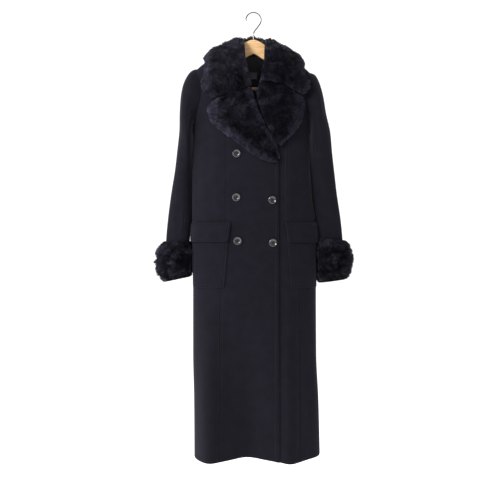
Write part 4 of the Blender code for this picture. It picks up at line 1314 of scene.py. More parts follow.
@dataclass
class FurPiece:
    """A piece of fur: a dense pad on its backing, and separate hairs that stand on it.

    The grids run over the piece: near is its backing, up the way its pile stands, pile and pad
    how high the hair and the dense part reach, flow the way the hair is combed, and the highlight
    grid how much paler the fur is painted there, a painted highlight along rims and lines. The
    rest says how many hairs there are, how they draw together, how strongly painted shade darkens
    the hair in the pile's low places and pales its high tufts, and how thick and how long the
    shortest are.
    """

    name: str
    near: Grid
    up: Grid
    pile: Grid
    pad: Grid
    flow: Grid
    hairs: int
    seed: int
    material: Material
    closed: bool = False
    clump: float = 0.25
    # Painted shade: hair in the pile's low places is painted darker, on its high tufts paler
    contrast: float = 0.11
    # Painted highlight: how much paler the fur is painted along rims and lines
    glow: Grid | float = 0.0
    pull: float = 0.46
    thick: float = 0.00050
    least: float = 0.0052

    def build(self) -> tuple[Piece, Piece]:
        """Makes the pad and the hairs, dressed and in place of the solid."""
        coarse = soft_noise(self.near, 44.0, self.seed)
        fine = soft_noise(self.near, 120.0, self.seed + 7.3)
        clumps = np.clip(1.7 * coarse + 1.3 * fine, -1, 1)
        if self.closed:
            clumps[:, -1] = clumps[:, 0]
        surface = self.near + self.up * (self.pad * (1 + self.clump * clumps))[..., None]
        full = self.near + self.up * (self.pile * (1 + 0.45 * self.clump * clumps))[..., None]
        glow = np.broadcast_to(self.glow, clumps.shape)
        own = np.s_[:, :-1] if self.closed else np.s_[:]
        points, faces = shell(self.near[own], surface[own], self.closed)
        # Painted shade and highlight on the pad: darker where it lies low, paler where it swells,
        # paler still under the painted highlight
        tone = clumps[own].ravel()
        uv = np.stack([np.tile(0.16 + 0.10 * tone + 0.50 * glow[own].ravel(), 2),
                       np.tile(0.5 + 0.4 * tone, 2)], -1)
        pad = mesh_object(f"{self.name}_pad", points, faces, self.material, uv)
        hairs = self._hairs(surface, full, clumps, glow)
        dress(pad, "black_fur", self.name)
        dress(hairs, "black_fur")
        return pad, hairs

    def _hairs(self, surface: Grid, full: Grid, clumps: Grid,
               glow: Grid) -> Piece:
        """Hairs as three-sided spikes, drawn together into tufts."""
        rng = np.random.default_rng(self.seed)
        noise.seed_set(self.seed)
        a, b = full[1:, :-1] - full[:-1, :-1], full[:-1, 1:] - full[:-1, :-1]
        area = np.linalg.norm(np.cross(a, b), axis=-1)
        turned = -1.0 if turned_in(surface, full) else 1.0
        facing = turned * unit(np.cross(np.gradient(full, axis=0), np.gradient(full, axis=1)))
        cells = rng.choice(area.size, self.hairs, p=(area / area.sum()).ravel())
        i, j = np.divmod(cells, area.shape[1])
        s, t = rng.random((2, self.hairs))

        def at(grid: Grid) -> Grid:
            """Values of a grid at the hairs' places in its cells."""
            shape = (-1,) + (1,) * (grid.ndim - 2)
            u, v = s.reshape(shape), t.reshape(shape)
            return ((1 - u) * ((1 - v) * grid[i, j] + v * grid[i, j + 1])
                    + u * ((1 - v) * grid[i + 1, j] + v * grid[i + 1, j + 1]))

        root, top, out = at(surface), at(full), unit(at(facing))
        swell = at(clumps)
        rise = np.linalg.norm(top - root, axis=-1)
        pile = at(self.pile)
        swirl = np.array([noise.noise_vector(p) for p in (root * 38 + self.seed).tolist()])
        loose = rng.normal(size=(self.hairs, 3))
        way = unit(0.45 * unit(top - root) + 0.75 * out + at(self.flow) + 0.42 * swirl
                   + 0.10 * loose)
        least = np.clip(0.6 * pile, 0.0016, self.least)
        length = np.maximum(rise / np.maximum((way * out).sum(-1), 0.55), least)
        length *= rng.uniform(0.84, 1.12, self.hairs) * (1 + 0.10 * swell)
        tip = root + way * length[:, None]
        # Each hair's tone: random, plus painted shade, darker in the pile's low places and paler
        # on high tufts, plus the painted highlight
        tone = rng.uniform(-0.16, 0.16, self.hairs) + 0.25 + self.contrast * swell + at(glow)
        for share, strength, spread in ((60, self.pull, 0.30), (330, 0.36, 0.30)):
            centres = rng.choice(self.hairs, self.hairs // share, replace=False)
            tree = kdtree.KDTree(len(centres))
            for k, c in enumerate(centres):
                tree.insert(root[c], k)
            tree.balance()
            nearest = centres[[tree.find(p)[1] for p in root]]
            give = strength * rng.uniform(0.6, 1.2, self.hairs)[:, None]
            tip = mix(tip, tip[nearest] + 0.22 * (root - root[nearest]), give)
            tone += (rng.random(self.hairs)[nearest] - 0.5) * spread
        root = root - out * 0.0006
        along = unit(tip - root)
        across = unit(np.cross(along, out + 0.3 * loose))
        third = np.cross(along, across)
        thick = self.thick * rng.uniform(0.75, 1.2, self.hairs)[:, None]
        corners = [root + thick * (across * math.cos(turn) + third * math.sin(turn))
                   for turn in (0.0, 2.0944, 4.1888)]
        points = np.stack([*corners, tip], axis=1).reshape(-1, 3)
        faces = (np.array([(0, 1, 3), (1, 2, 3), (2, 0, 3)])[None]
                 + 4 * np.arange(self.hairs)[:, None, None]).reshape(-1, 3)
        along_uv = np.tile([0.30, 0.30, 0.30, 1.0], self.hairs)
        uv = np.stack([along_uv, np.repeat(np.clip(tone, 0, 1), 4)], -1)
        return mesh_object(f"{self.name}_hairs", points, faces, self.material, uv, angle=180.0)


@dataclass
class FurTrim:
    """Collar, lapels and cuffs.

    The collar clears the form by a gap, a wider one at the shoulder line. Its hair stands up
    at the neck, and the hair of collar and lapels lies back over their feet.
    """

    form: CoatForm
    material: Material
    fill: float = 0.60
    stations: int = 120
    steps: int = 46
    inset: float = 0.022
    collar_gap: float = 0.0009
    ridge_gap: float = 0.0042
    foot_share: float = 0.14
    neck_half: float = 0.045
    neck_hair: float = 0.017
    neck_pad: float = 0.016

    def _shares(self, count: int, inset: float) -> tuple[Grid, Grid]:
        """Shares across a piece from edge to edge, and the same drawn in by an inset."""
        own = 0.5 - 0.5 * np.cos(np.pi * np.linspace(0.03, 0.97, count))
        own = (own - own[0]) / (own[-1] - own[0])
        return own, inset + (1 - 2 * inset) * own

    def _combed(self, near: Grid, share: Grid, lie: float, foot_lie: float) -> Grid:
        """The way hair lies across a piece, from its foot on."""
        lies = mix(lie, foot_lie, ease(1 - share / self.foot_share))[None, :, None]
        return lies * unit(np.gradient(near, axis=1))

    def collar(self) -> FurPiece:
        """One collar round the neck: a foot inside the neck, and a fall over the shoulders."""
        rows = list(reversed(RIGHT_COLLAR)) + LEFT_COLLAR[1:]
        read = through_rows(np.array(rows), np.linspace(0.0, len(rows) - 1, self.stations))
        foot, edge, pile, lift = read[:, None, 0:3], read[:, None, 3:6], read[:, 6], read[:, 7]
        own, share = self._shares(self.steps, self.inset)
        from_end = np.minimum(np.arange(self.stations), np.arange(self.stations)[::-1])
        from_end = from_end / (self.stations - 1) * COLLAR_STEPS
        end = mix(0.80, 1.0, np.minimum(1.0, from_end / 2))
        half = np.arange(self.stations) < self.stations / 2
        taper = mix(np.where(half, 0.75, 0.45), 1.0, ease(from_end / 1.6))
        lifted = mix(foot, edge, share[None, :, None])
        arch = ease(1 - from_end / 5) * np.where(half, RIGHT_GORGE_ARCH, LEFT_GORGE_ARCH)
        lifted[..., 2] += arch[:, None] * np.sin(np.pi * share[None] ** 0.75)
        near_ridge = 1 - ease(np.abs(lifted[..., 1]) / 0.05)
        near = self.form.push_out(lifted, mix(self.collar_gap, self.ridge_gap, near_ridge))
        tilt = (lift[:, None] * (1 - share[None]))[..., None]
        up = unit(mix(self.form.normal(near), np.array([0, 0, 1.0]), tilt))
        fullness = COLLAR_PILE * (pile * end)[:, None]
        full = 0.0035 + fullness * pile_profile(share)[None]
        pad = 0.0026 + self.fill * fullness * pile_profile(own)[None] * taper[:, None]
        fan = ease(1 - from_end / 1.8)[:, None, None]
        outwards = unit(np.gradient(near, axis=0)) * np.where(half, -1, 1)[:, None, None]
        flow = self._combed(near, share, 0.42, -0.60) + [0, 0, -0.10]
        flow = flow + np.where(half, 1.7, 0.9)[:, None, None] * fan * outwards
        stand = ease(1 - np.abs(near[..., 0]) / self.neck_half) * ease(1 - share[None] / 0.22)
        flow = flow * (1 - stand[..., None]) + stand[..., None] * [0, -0.3, 2.6]
        full, pad = full + self.neck_hair * stand, pad + self.neck_pad * stand
        # Painted highlight: paler fur along the fall's edge and along the foot, and a pale line at
        # the left gorge
        glow = 0.44 * ease((share - 0.70) / 0.20)[None] + 0.12 * ease(1 - share / 0.10)[None]
        glow = glow + np.where(half, 0.0, 0.34 * ease(1 - from_end / 1.5))[:, None]
        return FurPiece("fur_collar", near, up, full, pad, flow, COLLAR_HAIRS, COLLAR_SEED,
                        self.material, glow=glow)

    def lapel(self, side: Side) -> FurPiece:
        """A lapel that lies on its front, from the gorge to the tip."""
        lapel = LAPELS[side]
        along = np.linspace(0.006, 0.992, 64)
        start, end = (walk(np.array(pairs), along) for pairs in (lapel.roll, lapel.edge))
        own, share = self._shares(40, self.inset)
        row = LAPEL_STEPS * along
        from_tip = LAPEL_STEPS - row
        ends = 0.30 + 0.70 * np.minimum(1.0, from_tip / 2.5)
        ends *= mix(0.80, 1.0, np.minimum(1.0, row / 2))
        taper = ease(from_tip / 1.2) * mix(lapel.filled, 1.0, ease(row / 0.7))
        seen = mix(start[:, None], end[:, None], share[None, :, None])
        x, z = seen[..., 0], seen[..., 1]
        z = z + lapel.arch * ease(1 - row / 4)[:, None] * np.sin(np.pi * share ** 0.75)[None]
        near = self.form.cloth(Face.FRONT, x, z, LAPEL_EASE)
        up = self.form.normal(near)
        fullness = LAPEL_PILE * ends[:, None]
        full = 0.0026 + fullness * pile_profile(share)[None]
        pad = 0.0022 + self.fill * fullness * pile_profile(own)[None] * taper[:, None]
        fan = (ease(1 - from_tip / 1.2) - lapel.fanned * ease(1 - row / 0.9))[:, None, None]
        outwards = unit(np.gradient(near, axis=0))
        flow = self._combed(near, share, 0.30, lapel.foot_lie) + [0, 0, -0.16]
        flow = flow + 0.7 * fan * outwards
        # Painted highlight: paler fur along the free edge, along the roll and towards the tip
        roll_highlight = lapel.roll_highlight * ease(1 - share / 0.24)
        glow = 0.52 * ease((share - 0.62) / 0.22)[None] + roll_highlight[None]
        glow = glow + 0.22 * ease(1 - from_tip / 3.0)[:, None]
        return FurPiece(f"{side.word}_lapel", near, up, full, pad, flow, LAPEL_HAIRS,
                        LAPEL_SEED + side.value, self.material, glow=glow)

    def cuff(self, side: Side, sleeves: Sleeves) -> FurPiece:
        """A deep cuff round a sleeve's end, pressed flat where it meets the coat."""
        share = 0.5 - 0.5 * np.cos(np.pi * np.linspace(0.0, 1.0, 44))
        z = mix(CUFF_TOP + 0.002, CUFF_BOTTOM - 0.002, share)
        rings = np.stack([column(SLEEVES[side], "out_z", name)(z) for name in Ring._fields], -1)
        lean = CUFF_LEANS[side]
        rings[:, 1] = z + mix(lean.out_top, lean.out_bottom, share)
        rings[:, 3] = z + mix(lean.in_top, lean.in_bottom, share)
        loop = sleeves.loop(rings, np.linspace(0, 2 * np.pi, 109))
        loop[:, -1] = loop[:, 0]
        below = loop + [0, 0, -0.01]
        spread = np.stack([grid_normals(np.stack([a, b])[:, :-1], True)[0]
                           for a, b in zip(loop, below)])
        spread = np.concatenate([spread, spread[:, :1]], axis=1)
        fill = pile_profile((z - CUFF_TOP) / (CUFF_BOTTOM - CUFF_TOP), 2.0)[:, None]
        facing = mix(0.62, 1.0, 0.5 + 0.5 * spread[..., 0] * side.value)
        least = loop + spread * 0.0025
        wanted = loop + spread * (0.003 + CUFF_PILE * fill * facing)[..., None]
        clear = np.where(wanted[..., 1] < 0, 0.0085, 0.0012)
        moved = self.form.push_out(wanted, clear)
        near_enough = (np.linalg.norm(moved - wanted, axis=-1)
                       < np.linalg.norm(least - wanted, axis=-1))
        outer = np.where(near_enough[..., None], moved, least)
        near = loop + spread * CUFF_EASE
        pile = np.linalg.norm(outer - near, axis=-1)
        up = unit(outer - near)
        own = pile_profile(share, 2.0)[:, None]
        pad = np.minimum(0.0022 + self.fill * pile * own, np.maximum(pile, 0.0016))
        flow = np.zeros(near.shape) + [0, 0, -0.16]
        return FurPiece(f"{side.word}_cuff", near, up, pile, pad, flow, CUFF_HAIRS,
                        CUFF_SEED + side.value, self.material, closed=True, clump=0.42,
                        contrast=0.34)

    def build(self, sleeves: Sleeves) -> list[Piece]:
        """Makes all five pieces of fur."""
        jobs = [(self.collar(), ["back_cloth"])]
        for side in Side:
            jobs.append((self.lapel(side), [f"{side.word}_front_cloth"]))
            jobs.append((self.cuff(side, sleeves), [f"{side.word}_sleeve_upper_cloth"]))
        objects = []
        for piece, under in jobs:
            pad, hairs = piece.build()
            objects += [pad, hairs]
        return objects


@dataclass
class NeckLining:
    """What shows inside the neck: a lining on the back, and a plain tab sewn to it."""

    form: CoatForm
    lining: Material
    tape: Material
    stitching: Stitching
    lining_wall: float = 0.0015
    tab_wall: float = 0.0008
    tab_half: float = 0.0115
    tab_top: float = -0.171
    tab_bottom: float = -0.191

    def build(self) -> list[Piece]:
        """Makes the lining and the tab."""
        x = np.linspace(-LINING_HALF, LINING_HALF, 60)[None]
        t = np.linspace(0, 1, 70)[:, None]
        z = mix(self.form.top_edge(Face.BACK, x[0])[None] - 0.006, -0.31 + 4.0 * x * x, t)
        x = x + 0 * z
        wrinkle = (0.0010 * bump_at(x, 0.022 - 0.25 * (z + 0.2), 0.006)
                   + 0.0008 * bump_at(x, -0.027 + 0.15 * (z + 0.2), 0.005))
        wrinkle = wrinkle * ease(t / 0.25) * ease((1 - t) / 0.2)
        inside = -WALL - LINING_EASE - wrinkle
        base = self.form.skin(Face.BACK, x, z)
        normals = self.form.normal(base)
        outer = base + normals * (inside - self.lining_wall)[..., None]
        inner = base + normals * inside[..., None]
        lining = cloth_piece("neck_lining_satin", inner, outer, self.lining, "black_lining",
                             "neck_lining")
        return [lining, self._tab()]

    def _tab(self) -> Piece:
        """Blank woven tab: its ends are turned under, and its corners are caught down."""
        x = np.linspace(-self.tab_half, self.tab_half, 34)[None]
        z = np.linspace(self.tab_top, self.tab_bottom, 26)[:, None] + 0 * x
        x = x + 0 * z
        base = self.form.skin(Face.BACK, x, z)
        normals = self.form.normal(base)
        back = -WALL - 1.5 * LINING_EASE - self.lining_wall - 0.0012
        ends = 1 - ease((self.tab_half - np.abs(x)) / 0.0018)
        top = 1 - ease((self.tab_top - z) / 0.0030)
        bow = 0.0009 * np.sin(np.pi * (x / self.tab_half * 0.5 + 0.5)) * ease(1 - top)
        rise = back - bow
        thick = self.tab_wall + 0.0004 * np.maximum(ends, top)
        weave = 0.00006 * np.sin(z * 2 * np.pi / 0.0009)
        outer = base + normals * (rise - thick - weave)[..., None]
        inner = base + normals * rise[..., None]
        tab = cloth_piece("neck_tab_tape", inner, outer, self.tape, "plain_tab", "neck_tab")
        for j in (1, -2):
            self.stitching.add("tab_stitches", outer[2:-2, j], -normals[2:-2, j])
        return tab


class Bench:
    """Short names for the few steps that every hard piece is modelled with."""

    @staticmethod
    def clear() -> None:
        """Leaves edit mode and selects nothing."""
        if bpy.context.object and bpy.context.object.mode != "OBJECT":
            bpy.ops.object.mode_set(mode="OBJECT")
        bpy.ops.object.select_all(action="DESELECT")

    @staticmethod
    def take(*objects: Piece) -> None:
        """Selects pieces and nothing else, and makes the first one active."""
        Bench.clear()
        for obj in objects:
            obj.select_set(True)
        bpy.context.view_layer.objects.active = objects[0]

    @staticmethod
    def pick(test: Callable[[bmesh.types.BMFace], bool]) -> None:
        """Selects the faces of the edited mesh that pass a test, and nothing else."""
        mesh = bpy.context.object.data
        edited = bmesh.from_edit_mesh(mesh)
        bpy.ops.mesh.select_mode(type="FACE")
        for face in edited.faces:
            face.select_set(test(face))
        edited.select_flush_mode()
        bmesh.update_edit_mesh(mesh)

    @staticmethod
    def bevel(obj: Piece, width: float, segments: int, degrees: float) -> None:
        """Rounds the edges that are sharper than an angle, and applies it."""
        soft = obj.modifiers.new("rounding", "BEVEL")
        soft.width, soft.segments = width, segments
        soft.limit_method, soft.angle_limit = "ANGLE", math.radians(degrees)
        soft.harden_normals = False
        bpy.ops.object.modifier_apply(modifier=soft.name)

    @staticmethod
    def settle(obj: Piece, name: str, material: Material,
               degrees: float = 40.0) -> Piece:
        """Puts a piece's place into its mesh, smooths it and dresses it."""
        Bench.take(obj)
        bpy.ops.object.transform_apply(location=True, rotation=True, scale=True)
        bpy.ops.object.shade_smooth_by_angle(angle=math.radians(degrees))
        obj.name = obj.data.name = name
        obj.data.materials.clear()
        obj.data.materials.append(material)
        return obj


@dataclass
class Buttons:
    """Round sewn buttons with a raised rim and a dished middle with four holes."""

    form: CoatForm
    horn: Material
    thread: Material
    diameter: float = BUTTON_DIAMETER
    height: float = BUTTON_HEIGHT
    hole: float = 0.00095
    hole_out: float = 0.0021

    def _disc(self) -> Piece:
        """The button itself, face up at the origin."""
        radius, height = self.diameter / 2, self.height
        Bench.clear()
        bpy.ops.mesh.primitive_cylinder_add(vertices=72, radius=radius, depth=height * 0.78,
                                            location=(0, 0, height * 0.39))
        obj = bpy.context.object
        bpy.ops.object.mode_set(mode="EDIT")
        Bench.pick(lambda face: face.normal.z > 0.9)
        for thickness, lift in BUTTON_STEPS:
            bpy.ops.mesh.inset(thickness=radius * thickness)
            bpy.ops.transform.translate(value=(0, 0, height * lift))
        Bench.pick(lambda face: face.normal.z < -0.9)
        bpy.ops.mesh.inset(thickness=radius * 0.10)
        bpy.ops.object.mode_set(mode="OBJECT")
        Bench.bevel(obj, 0.0005, 3, 50)
        for turn in range(4):
            self._bore(obj, math.radians(45 + 90 * turn))
        return obj

    def _bore(self, obj: Piece, turn: float) -> None:
        """Cuts one thread hole right through."""
        Bench.clear()
        place = (self.hole_out * math.cos(turn), self.hole_out * math.sin(turn), 0)
        bpy.ops.mesh.primitive_cylinder_add(vertices=16, radius=self.hole, depth=0.03,
                                            location=place)
        drill = bpy.context.object
        cut = obj.modifiers.new("hole", "BOOLEAN")
        cut.object, cut.operation, cut.solver = drill, "DIFFERENCE", "EXACT"
        bpy.context.view_layer.objects.active = obj
        bpy.ops.object.modifier_apply(modifier=cut.name)
        bpy.data.objects.remove(drill)

    def _threads(self) -> Piece:
        """Two crossed bars of thread between the holes."""
        Bench.clear()
        top = self.height * 0.68
        reach = 2 * self.hole_out
        for k, turn in enumerate((math.radians(45), math.radians(-45))):
            bpy.ops.mesh.primitive_cylinder_add(
                vertices=12, radius=0.00055, depth=reach, location=(0, 0, top + 0.0003 * k),
                rotation=(math.pi / 2, 0, turn))
            bpy.context.object.name = f"thread_{k}"
        Bench.take(bpy.data.objects["thread_0"], bpy.data.objects["thread_1"])
        bpy.ops.object.join()
        obj = bpy.context.object
        Bench.bevel(obj, 0.0004, 2, 60)
        return obj

    def build(self) -> list[Piece]:
        """Models one button, and sets a copy of it at each button's place."""
        models = [(Bench.settle(self._disc(), "button_model", self.horn, 35), "_horn"),
                  (Bench.settle(self._threads(), "thread_model", self.thread, 50), "_thread")]
        objects = []
        for k, button in enumerate(BUTTONS):
            x, z = np.array(button.x), np.array(button.z)
            base = self.form.skin(Face.FRONT, x, z)
            normal = self.form.normal(base)
            rise = button.rise + float(self.form.drape(Face.FRONT, x, z))
            place = Vector(base + normal * rise)
            turn = Vector(normal).to_track_quat("Z", "Y").to_matrix().to_4x4()
            spin = Matrix.Rotation(math.radians(17 + 47 * k), 4, "Z")
            for model, ending in models:
                mesh = model.data.copy()
                mesh.transform(Matrix.Translation(place) @ turn @ spin)
                obj = put(button.name + ending, mesh)
                dress(obj, "black_button", *([button.name] if ending == "_horn" else []))
                objects.append(obj)
        for model, _ in models:
            bpy.data.objects.remove(model)
        return objects


@dataclass
class Hanger:
    """Shaped wooden arms with a round bar between their ends, and a wire hook."""

    wood: Material
    steel: Material
    thickness: float = ARM_THICKNESS
    edge: float = 0.0016
    step: float = 0.005

    def _stations(self) -> list[Arm]:
        """Sections of the arms from end to end."""
        smooth = [arm for arm in ARMS if arm.x <= ARM_END]
        top, bottom = (column(smooth, "x", name) for name in ("top", "bottom"))
        half = [Arm(x, float(top(x)), float(bottom(x)))
                for x in np.arange(0, ARM_END, self.step)]
        half += [arm for arm in ARMS if arm.x > ARM_END]
        return [arm._replace(x=-arm.x) for arm in reversed(half[1:])] + half

    def arms(self) -> Piece:
        """Extrudes one upright face through all the sections, then rounds its edges."""
        stations = self._stations()

        def middle(arm: Arm) -> Vector:
            """Middle of a section, lowered by the hanger's tilt."""
            return Vector((arm.x, 0, (arm.top + arm.bottom) / 2 - HANGER_TILT * arm.x))

        first = stations[0]
        Bench.clear()
        bpy.ops.mesh.primitive_plane_add(size=1.0, location=middle(first),
                                         rotation=(0, -math.pi / 2, 0))
        obj = bpy.context.object
        bpy.ops.object.transform_apply(location=True, rotation=True, scale=True)
        bpy.ops.object.mode_set(mode="EDIT")
        bpy.ops.mesh.select_all(action="SELECT")
        size = (1, self.thickness * ARM_TIP_SHARE, first.top - first.bottom)
        bpy.ops.transform.resize(value=size, center_override=middle(first))
        for before, arm in zip(stations, stations[1:]):
            move = middle(arm) - middle(before)
            bpy.ops.mesh.extrude_region_move(TRANSFORM_OT_translate={"value": move})
            taller = (arm.top - arm.bottom) / (before.top - before.bottom)
            thin = [ARM_TIP_SHARE if abs(a.x) > ARM_TIP else 1.0 for a in (before, arm)]
            bpy.ops.transform.resize(value=(1, thin[1] / thin[0], taller),
                                     center_override=middle(arm))
        bpy.ops.mesh.select_all(action="SELECT")
        bpy.ops.mesh.normals_make_consistent(inside=False)
        bpy.ops.object.mode_set(mode="OBJECT")
        Bench.bevel(obj, self.edge, 4, 40)
        Bench.settle(obj, "hanger_arms_wood", self.wood)
        return dress(obj, "pale_wood", "hanger_arms")

    def bar(self) -> Piece:
        """Round bar, let into both ends of the arms."""
        reach = ARMS[6].x + BAR_SEAT
        Bench.clear()
        bpy.ops.mesh.primitive_cylinder_add(
            vertices=48, radius=BAR_DIAMETER / 2, depth=2 * reach, location=(0, 0, BAR_Z),
            rotation=(0, math.pi / 2 + math.atan(HANGER_TILT), 0))
        obj = bpy.context.object
        Bench.bevel(obj, 0.0004, 2, 60)
        Bench.settle(obj, "trouser_bar_wood", self.wood)
        return dress(obj, "pale_wood", "trouser_bar")

    def hook(self) -> Piece:
        """Wire hook with a rounded tip: a bent wire, made a mesh."""
        middle_z = WIRE / 2 - HOOK_RADIUS
        turns = np.radians(np.linspace(*HOOK_TURNS, 72))
        ring = np.stack([HOOK_RADIUS * np.cos(turns), 0 * turns,
                         middle_z + HOOK_RADIUS * np.sin(turns)], -1)
        bend = np.array([ring[-1], *HOOK_BEND, (0.0, 0, ARMS[0].top + HOOK_EASE)])
        lower = through_rows(np.concatenate([ring[-6:-5], bend]), np.linspace(1, 6, 50))
        path = np.concatenate([ring, lower[1:]])
        back = unit(path[0] - path[1])
        tips = [path[0] + back * WIRE / 2 * s for s in (0.97, 0.80, 0.50)]
        path = np.concatenate([tips, path])
        radii = [0.24, 0.60, 0.866] + [1.0] * (len(path) - 3)
        curve = bpy.data.curves.new("hook_bend", "CURVE")
        curve.dimensions = "3D"
        curve.bevel_depth, curve.bevel_resolution = WIRE / 2, 7
        curve.use_fill_caps = True
        spline = curve.splines.new("POLY")
        spline.points.add(len(path) - 1)
        for point, place, radius in zip(spline.points, path, radii):
            point.co, point.radius = (*place, 1.0), radius
        Bench.take(put("hook_bend", curve))
        bpy.ops.object.convert(target="MESH")
        obj = bpy.context.object
        Bench.settle(obj, "hook_wire", self.steel, 60)
        return dress(obj, "bright_steel", "hook")

    def build(self) -> list[Piece]:
        """Makes arms, bar and hook."""
        return [self.arms(), self.bar(), self.hook()]


class Shader:
    """A material's or a group's node tree, written link by link."""

    def __init__(self, tree: bpy.types.NodeTree) -> None:
        """Writes into a tree."""
        self.tree = tree

    def node(self, kind: str, inputs: dict, **settings: object) -> bpy.types.Node:
        """A node with its settings, and its sockets fed with values or other sockets."""
        node = self.tree.nodes.new(kind)
        for name, value in settings.items():
            setattr(node, name, value)
        for name, value in inputs.items():
            self.feed(node.inputs[name], value)
        return node

    def feed(self, socket: bpy.types.NodeSocket, value: object) -> None:
        """Links a socket to another one, or sets its value."""
        if isinstance(value, bpy.types.NodeSocket):
            self.tree.links.new(value, socket)
        else:
            socket.default_value = value

    def math(self, operation: str, a: object, b: object = 0.0, clamp: bool = False) -> object:
        """Result of one sum."""
        node = self.node("ShaderNodeMath", {0: a, 1: b}, operation=operation, use_clamp=clamp)
        return node.outputs[0]

    def spread(self, value: object, low: float, high: float, to_low: float = 0.0,
               to_high: float = 1.0) -> object:
        """A value's range, smoothly brought to another range."""
        node = self.node("ShaderNodeMapRange", {"Value": value, "From Min": low,
                                                "From Max": high, "To Min": to_low,
                                                "To Max": to_high},
                         interpolation_type="SMOOTHSTEP")
        return node.outputs["Result"]

    def mix(self, share: object, a: object, b: object) -> object:
        """Colour at a share of the way from a to b."""
        node = self.node("ShaderNodeMix", {0: share, 6: a, 7: b}, data_type="RGBA")
        return node.outputs[2]

    def noise(self, place: object, scale: object, detail: float = 2.0,
              rough: float = 0.55) -> object:
        """Noise from 0 to 1 at a place."""
        node = self.node("ShaderNodeTexNoise", {"Vector": place, "Scale": scale,
                                                "Detail": detail, "Roughness": rough})
        return node.outputs["Fac"]

    def stretched(self, place: object, x: float, y: float, z: float) -> object:
        """Place with each axis scaled."""
        node = self.node("ShaderNodeVectorMath", {0: place, 1: (x, y, z)}, operation="MULTIPLY")
        return node.outputs[0]

    def place(self) -> object:
        """Place on the piece, in metres."""
        return self.tree.nodes.new("ShaderNodeTexCoord").outputs["Object"]


def nap_group() -> bpy.types.NodeTree:
    """Group shared by all cloth and fur: mottled tone, and the height of short fibres."""
    tree = bpy.data.node_groups.new("fibre_nap", "ShaderNodeTree")
    for name, kind in (("Place", "NodeSocketVector"), ("Mottle Scale", "NodeSocketFloat"),
                       ("Fibre Scale", "NodeSocketFloat"), ("Fibre Length", "NodeSocketFloat")):
        tree.interface.new_socket(name=name, in_out="INPUT", socket_type=kind)
    for name in ("Tone", "Fibres"):
        tree.interface.new_socket(name=name, in_out="OUTPUT", socket_type="NodeSocketFloat")
    shader = Shader(tree)
    given = tree.nodes.new("NodeGroupInput")
    put = tree.nodes.new("NodeGroupOutput")
    mottle = shader.noise(given.outputs["Place"], given.outputs["Mottle Scale"], 4.0, 0.6)
    along = shader.math("DIVIDE", 1.0, given.outputs["Fibre Length"])
    shrink = shader.node("ShaderNodeCombineXYZ", {0: 1.0, 1: 1.0, 2: along})
    drawn = shader.node("ShaderNodeVectorMath", {0: given.outputs["Place"],
                                                 1: shrink.outputs[0]}, operation="MULTIPLY")
    fibres = shader.noise(drawn.outputs[0], given.outputs["Fibre Scale"], 3.0, 0.62)
    tone = shader.math("ADD", shader.math("MULTIPLY", mottle, 0.62),
                       shader.math("MULTIPLY", fibres, 0.38))
    shader.feed(put.inputs["Tone"], shader.spread(tone, 0.32, 0.68))
    shader.feed(put.inputs["Fibres"], fibres)
    return tree


class Finish:
    """What all finishes share: a material with its shader, fibres, and bump from a height."""

    def start(self, name: str, sockets: dict) -> tuple[Shader, Material, object]:
        """A new material whose own shader sockets are set to plain values.

        Args:
            name: Name of the material.
            sockets: Values for the shader's own sockets.

        Returns:
            The tree's writer, the material and its surface node.
        """
        material = bpy.data.materials.new(name)
        material.use_nodes = True
        surface = material.node_tree.nodes["Principled BSDF"]
        for socket, value in sockets.items():
            surface.inputs[socket].default_value = value
        return Shader(material.node_tree), material, surface

    def nap(self, shader: Shader, group: bpy.types.NodeTree, mottle: float, fibre: float,
            length: float) -> bpy.types.Node:
        """The group of short fibres, with its scales and how long the fibres are."""
        nap = shader.node("ShaderNodeGroup", {}, node_tree=group)
        for socket, value in (("Place", shader.place()), ("Mottle Scale", mottle),
                              ("Fibre Scale", fibre), ("Fibre Length", length)):
            shader.feed(nap.inputs[socket], value)
        return nap

    def bump(self, shader: Shader, surface: object, height: object, strength: float,
             distance: float) -> None:
        """Feeds a height to the surface as bump."""
        node = shader.node("ShaderNodeBump", {"Height": height, "Strength": strength,
                                              "Distance": distance})
        shader.feed(surface.inputs["Normal"], node.outputs["Normal"])


@dataclass(frozen=True)
class NapFinish(Finish):
    """Cloth with a brushed nap: brushed wool, satin lining, woven tape or thread."""

    group: bpy.types.NodeTree
    name: str
    dark: Colour
    light: Colour
    roughness: float
    sheen: float
    mottle: float
    fibre: float
    length: float
    bump_height: float
    shine: float
    sheen_tint: Colour = (0.75, 0.72, 0.90, 1.0)

    def make(self) -> Material:
        """Builds the material."""
        shader, material, surface = self.start(self.name, {
            "Sheen Weight": self.sheen, "Sheen Roughness": 0.42, "Sheen Tint": self.sheen_tint,
            "Specular IOR Level": self.shine})
        nap = self.nap(shader, self.group, self.mottle, self.fibre, self.length)
        tone = nap.outputs["Tone"]
        shader.feed(surface.inputs["Base Color"], shader.mix(tone, self.dark, self.light))
        rough = shader.spread(nap.outputs["Fibres"], 0.3, 0.7, self.roughness - 0.05,
                              min(1.0, self.roughness + 0.05))
        shader.feed(surface.inputs["Roughness"], rough)
        self.bump(shader, surface, nap.outputs["Fibres"], 0.7, self.bump_height)
        return material


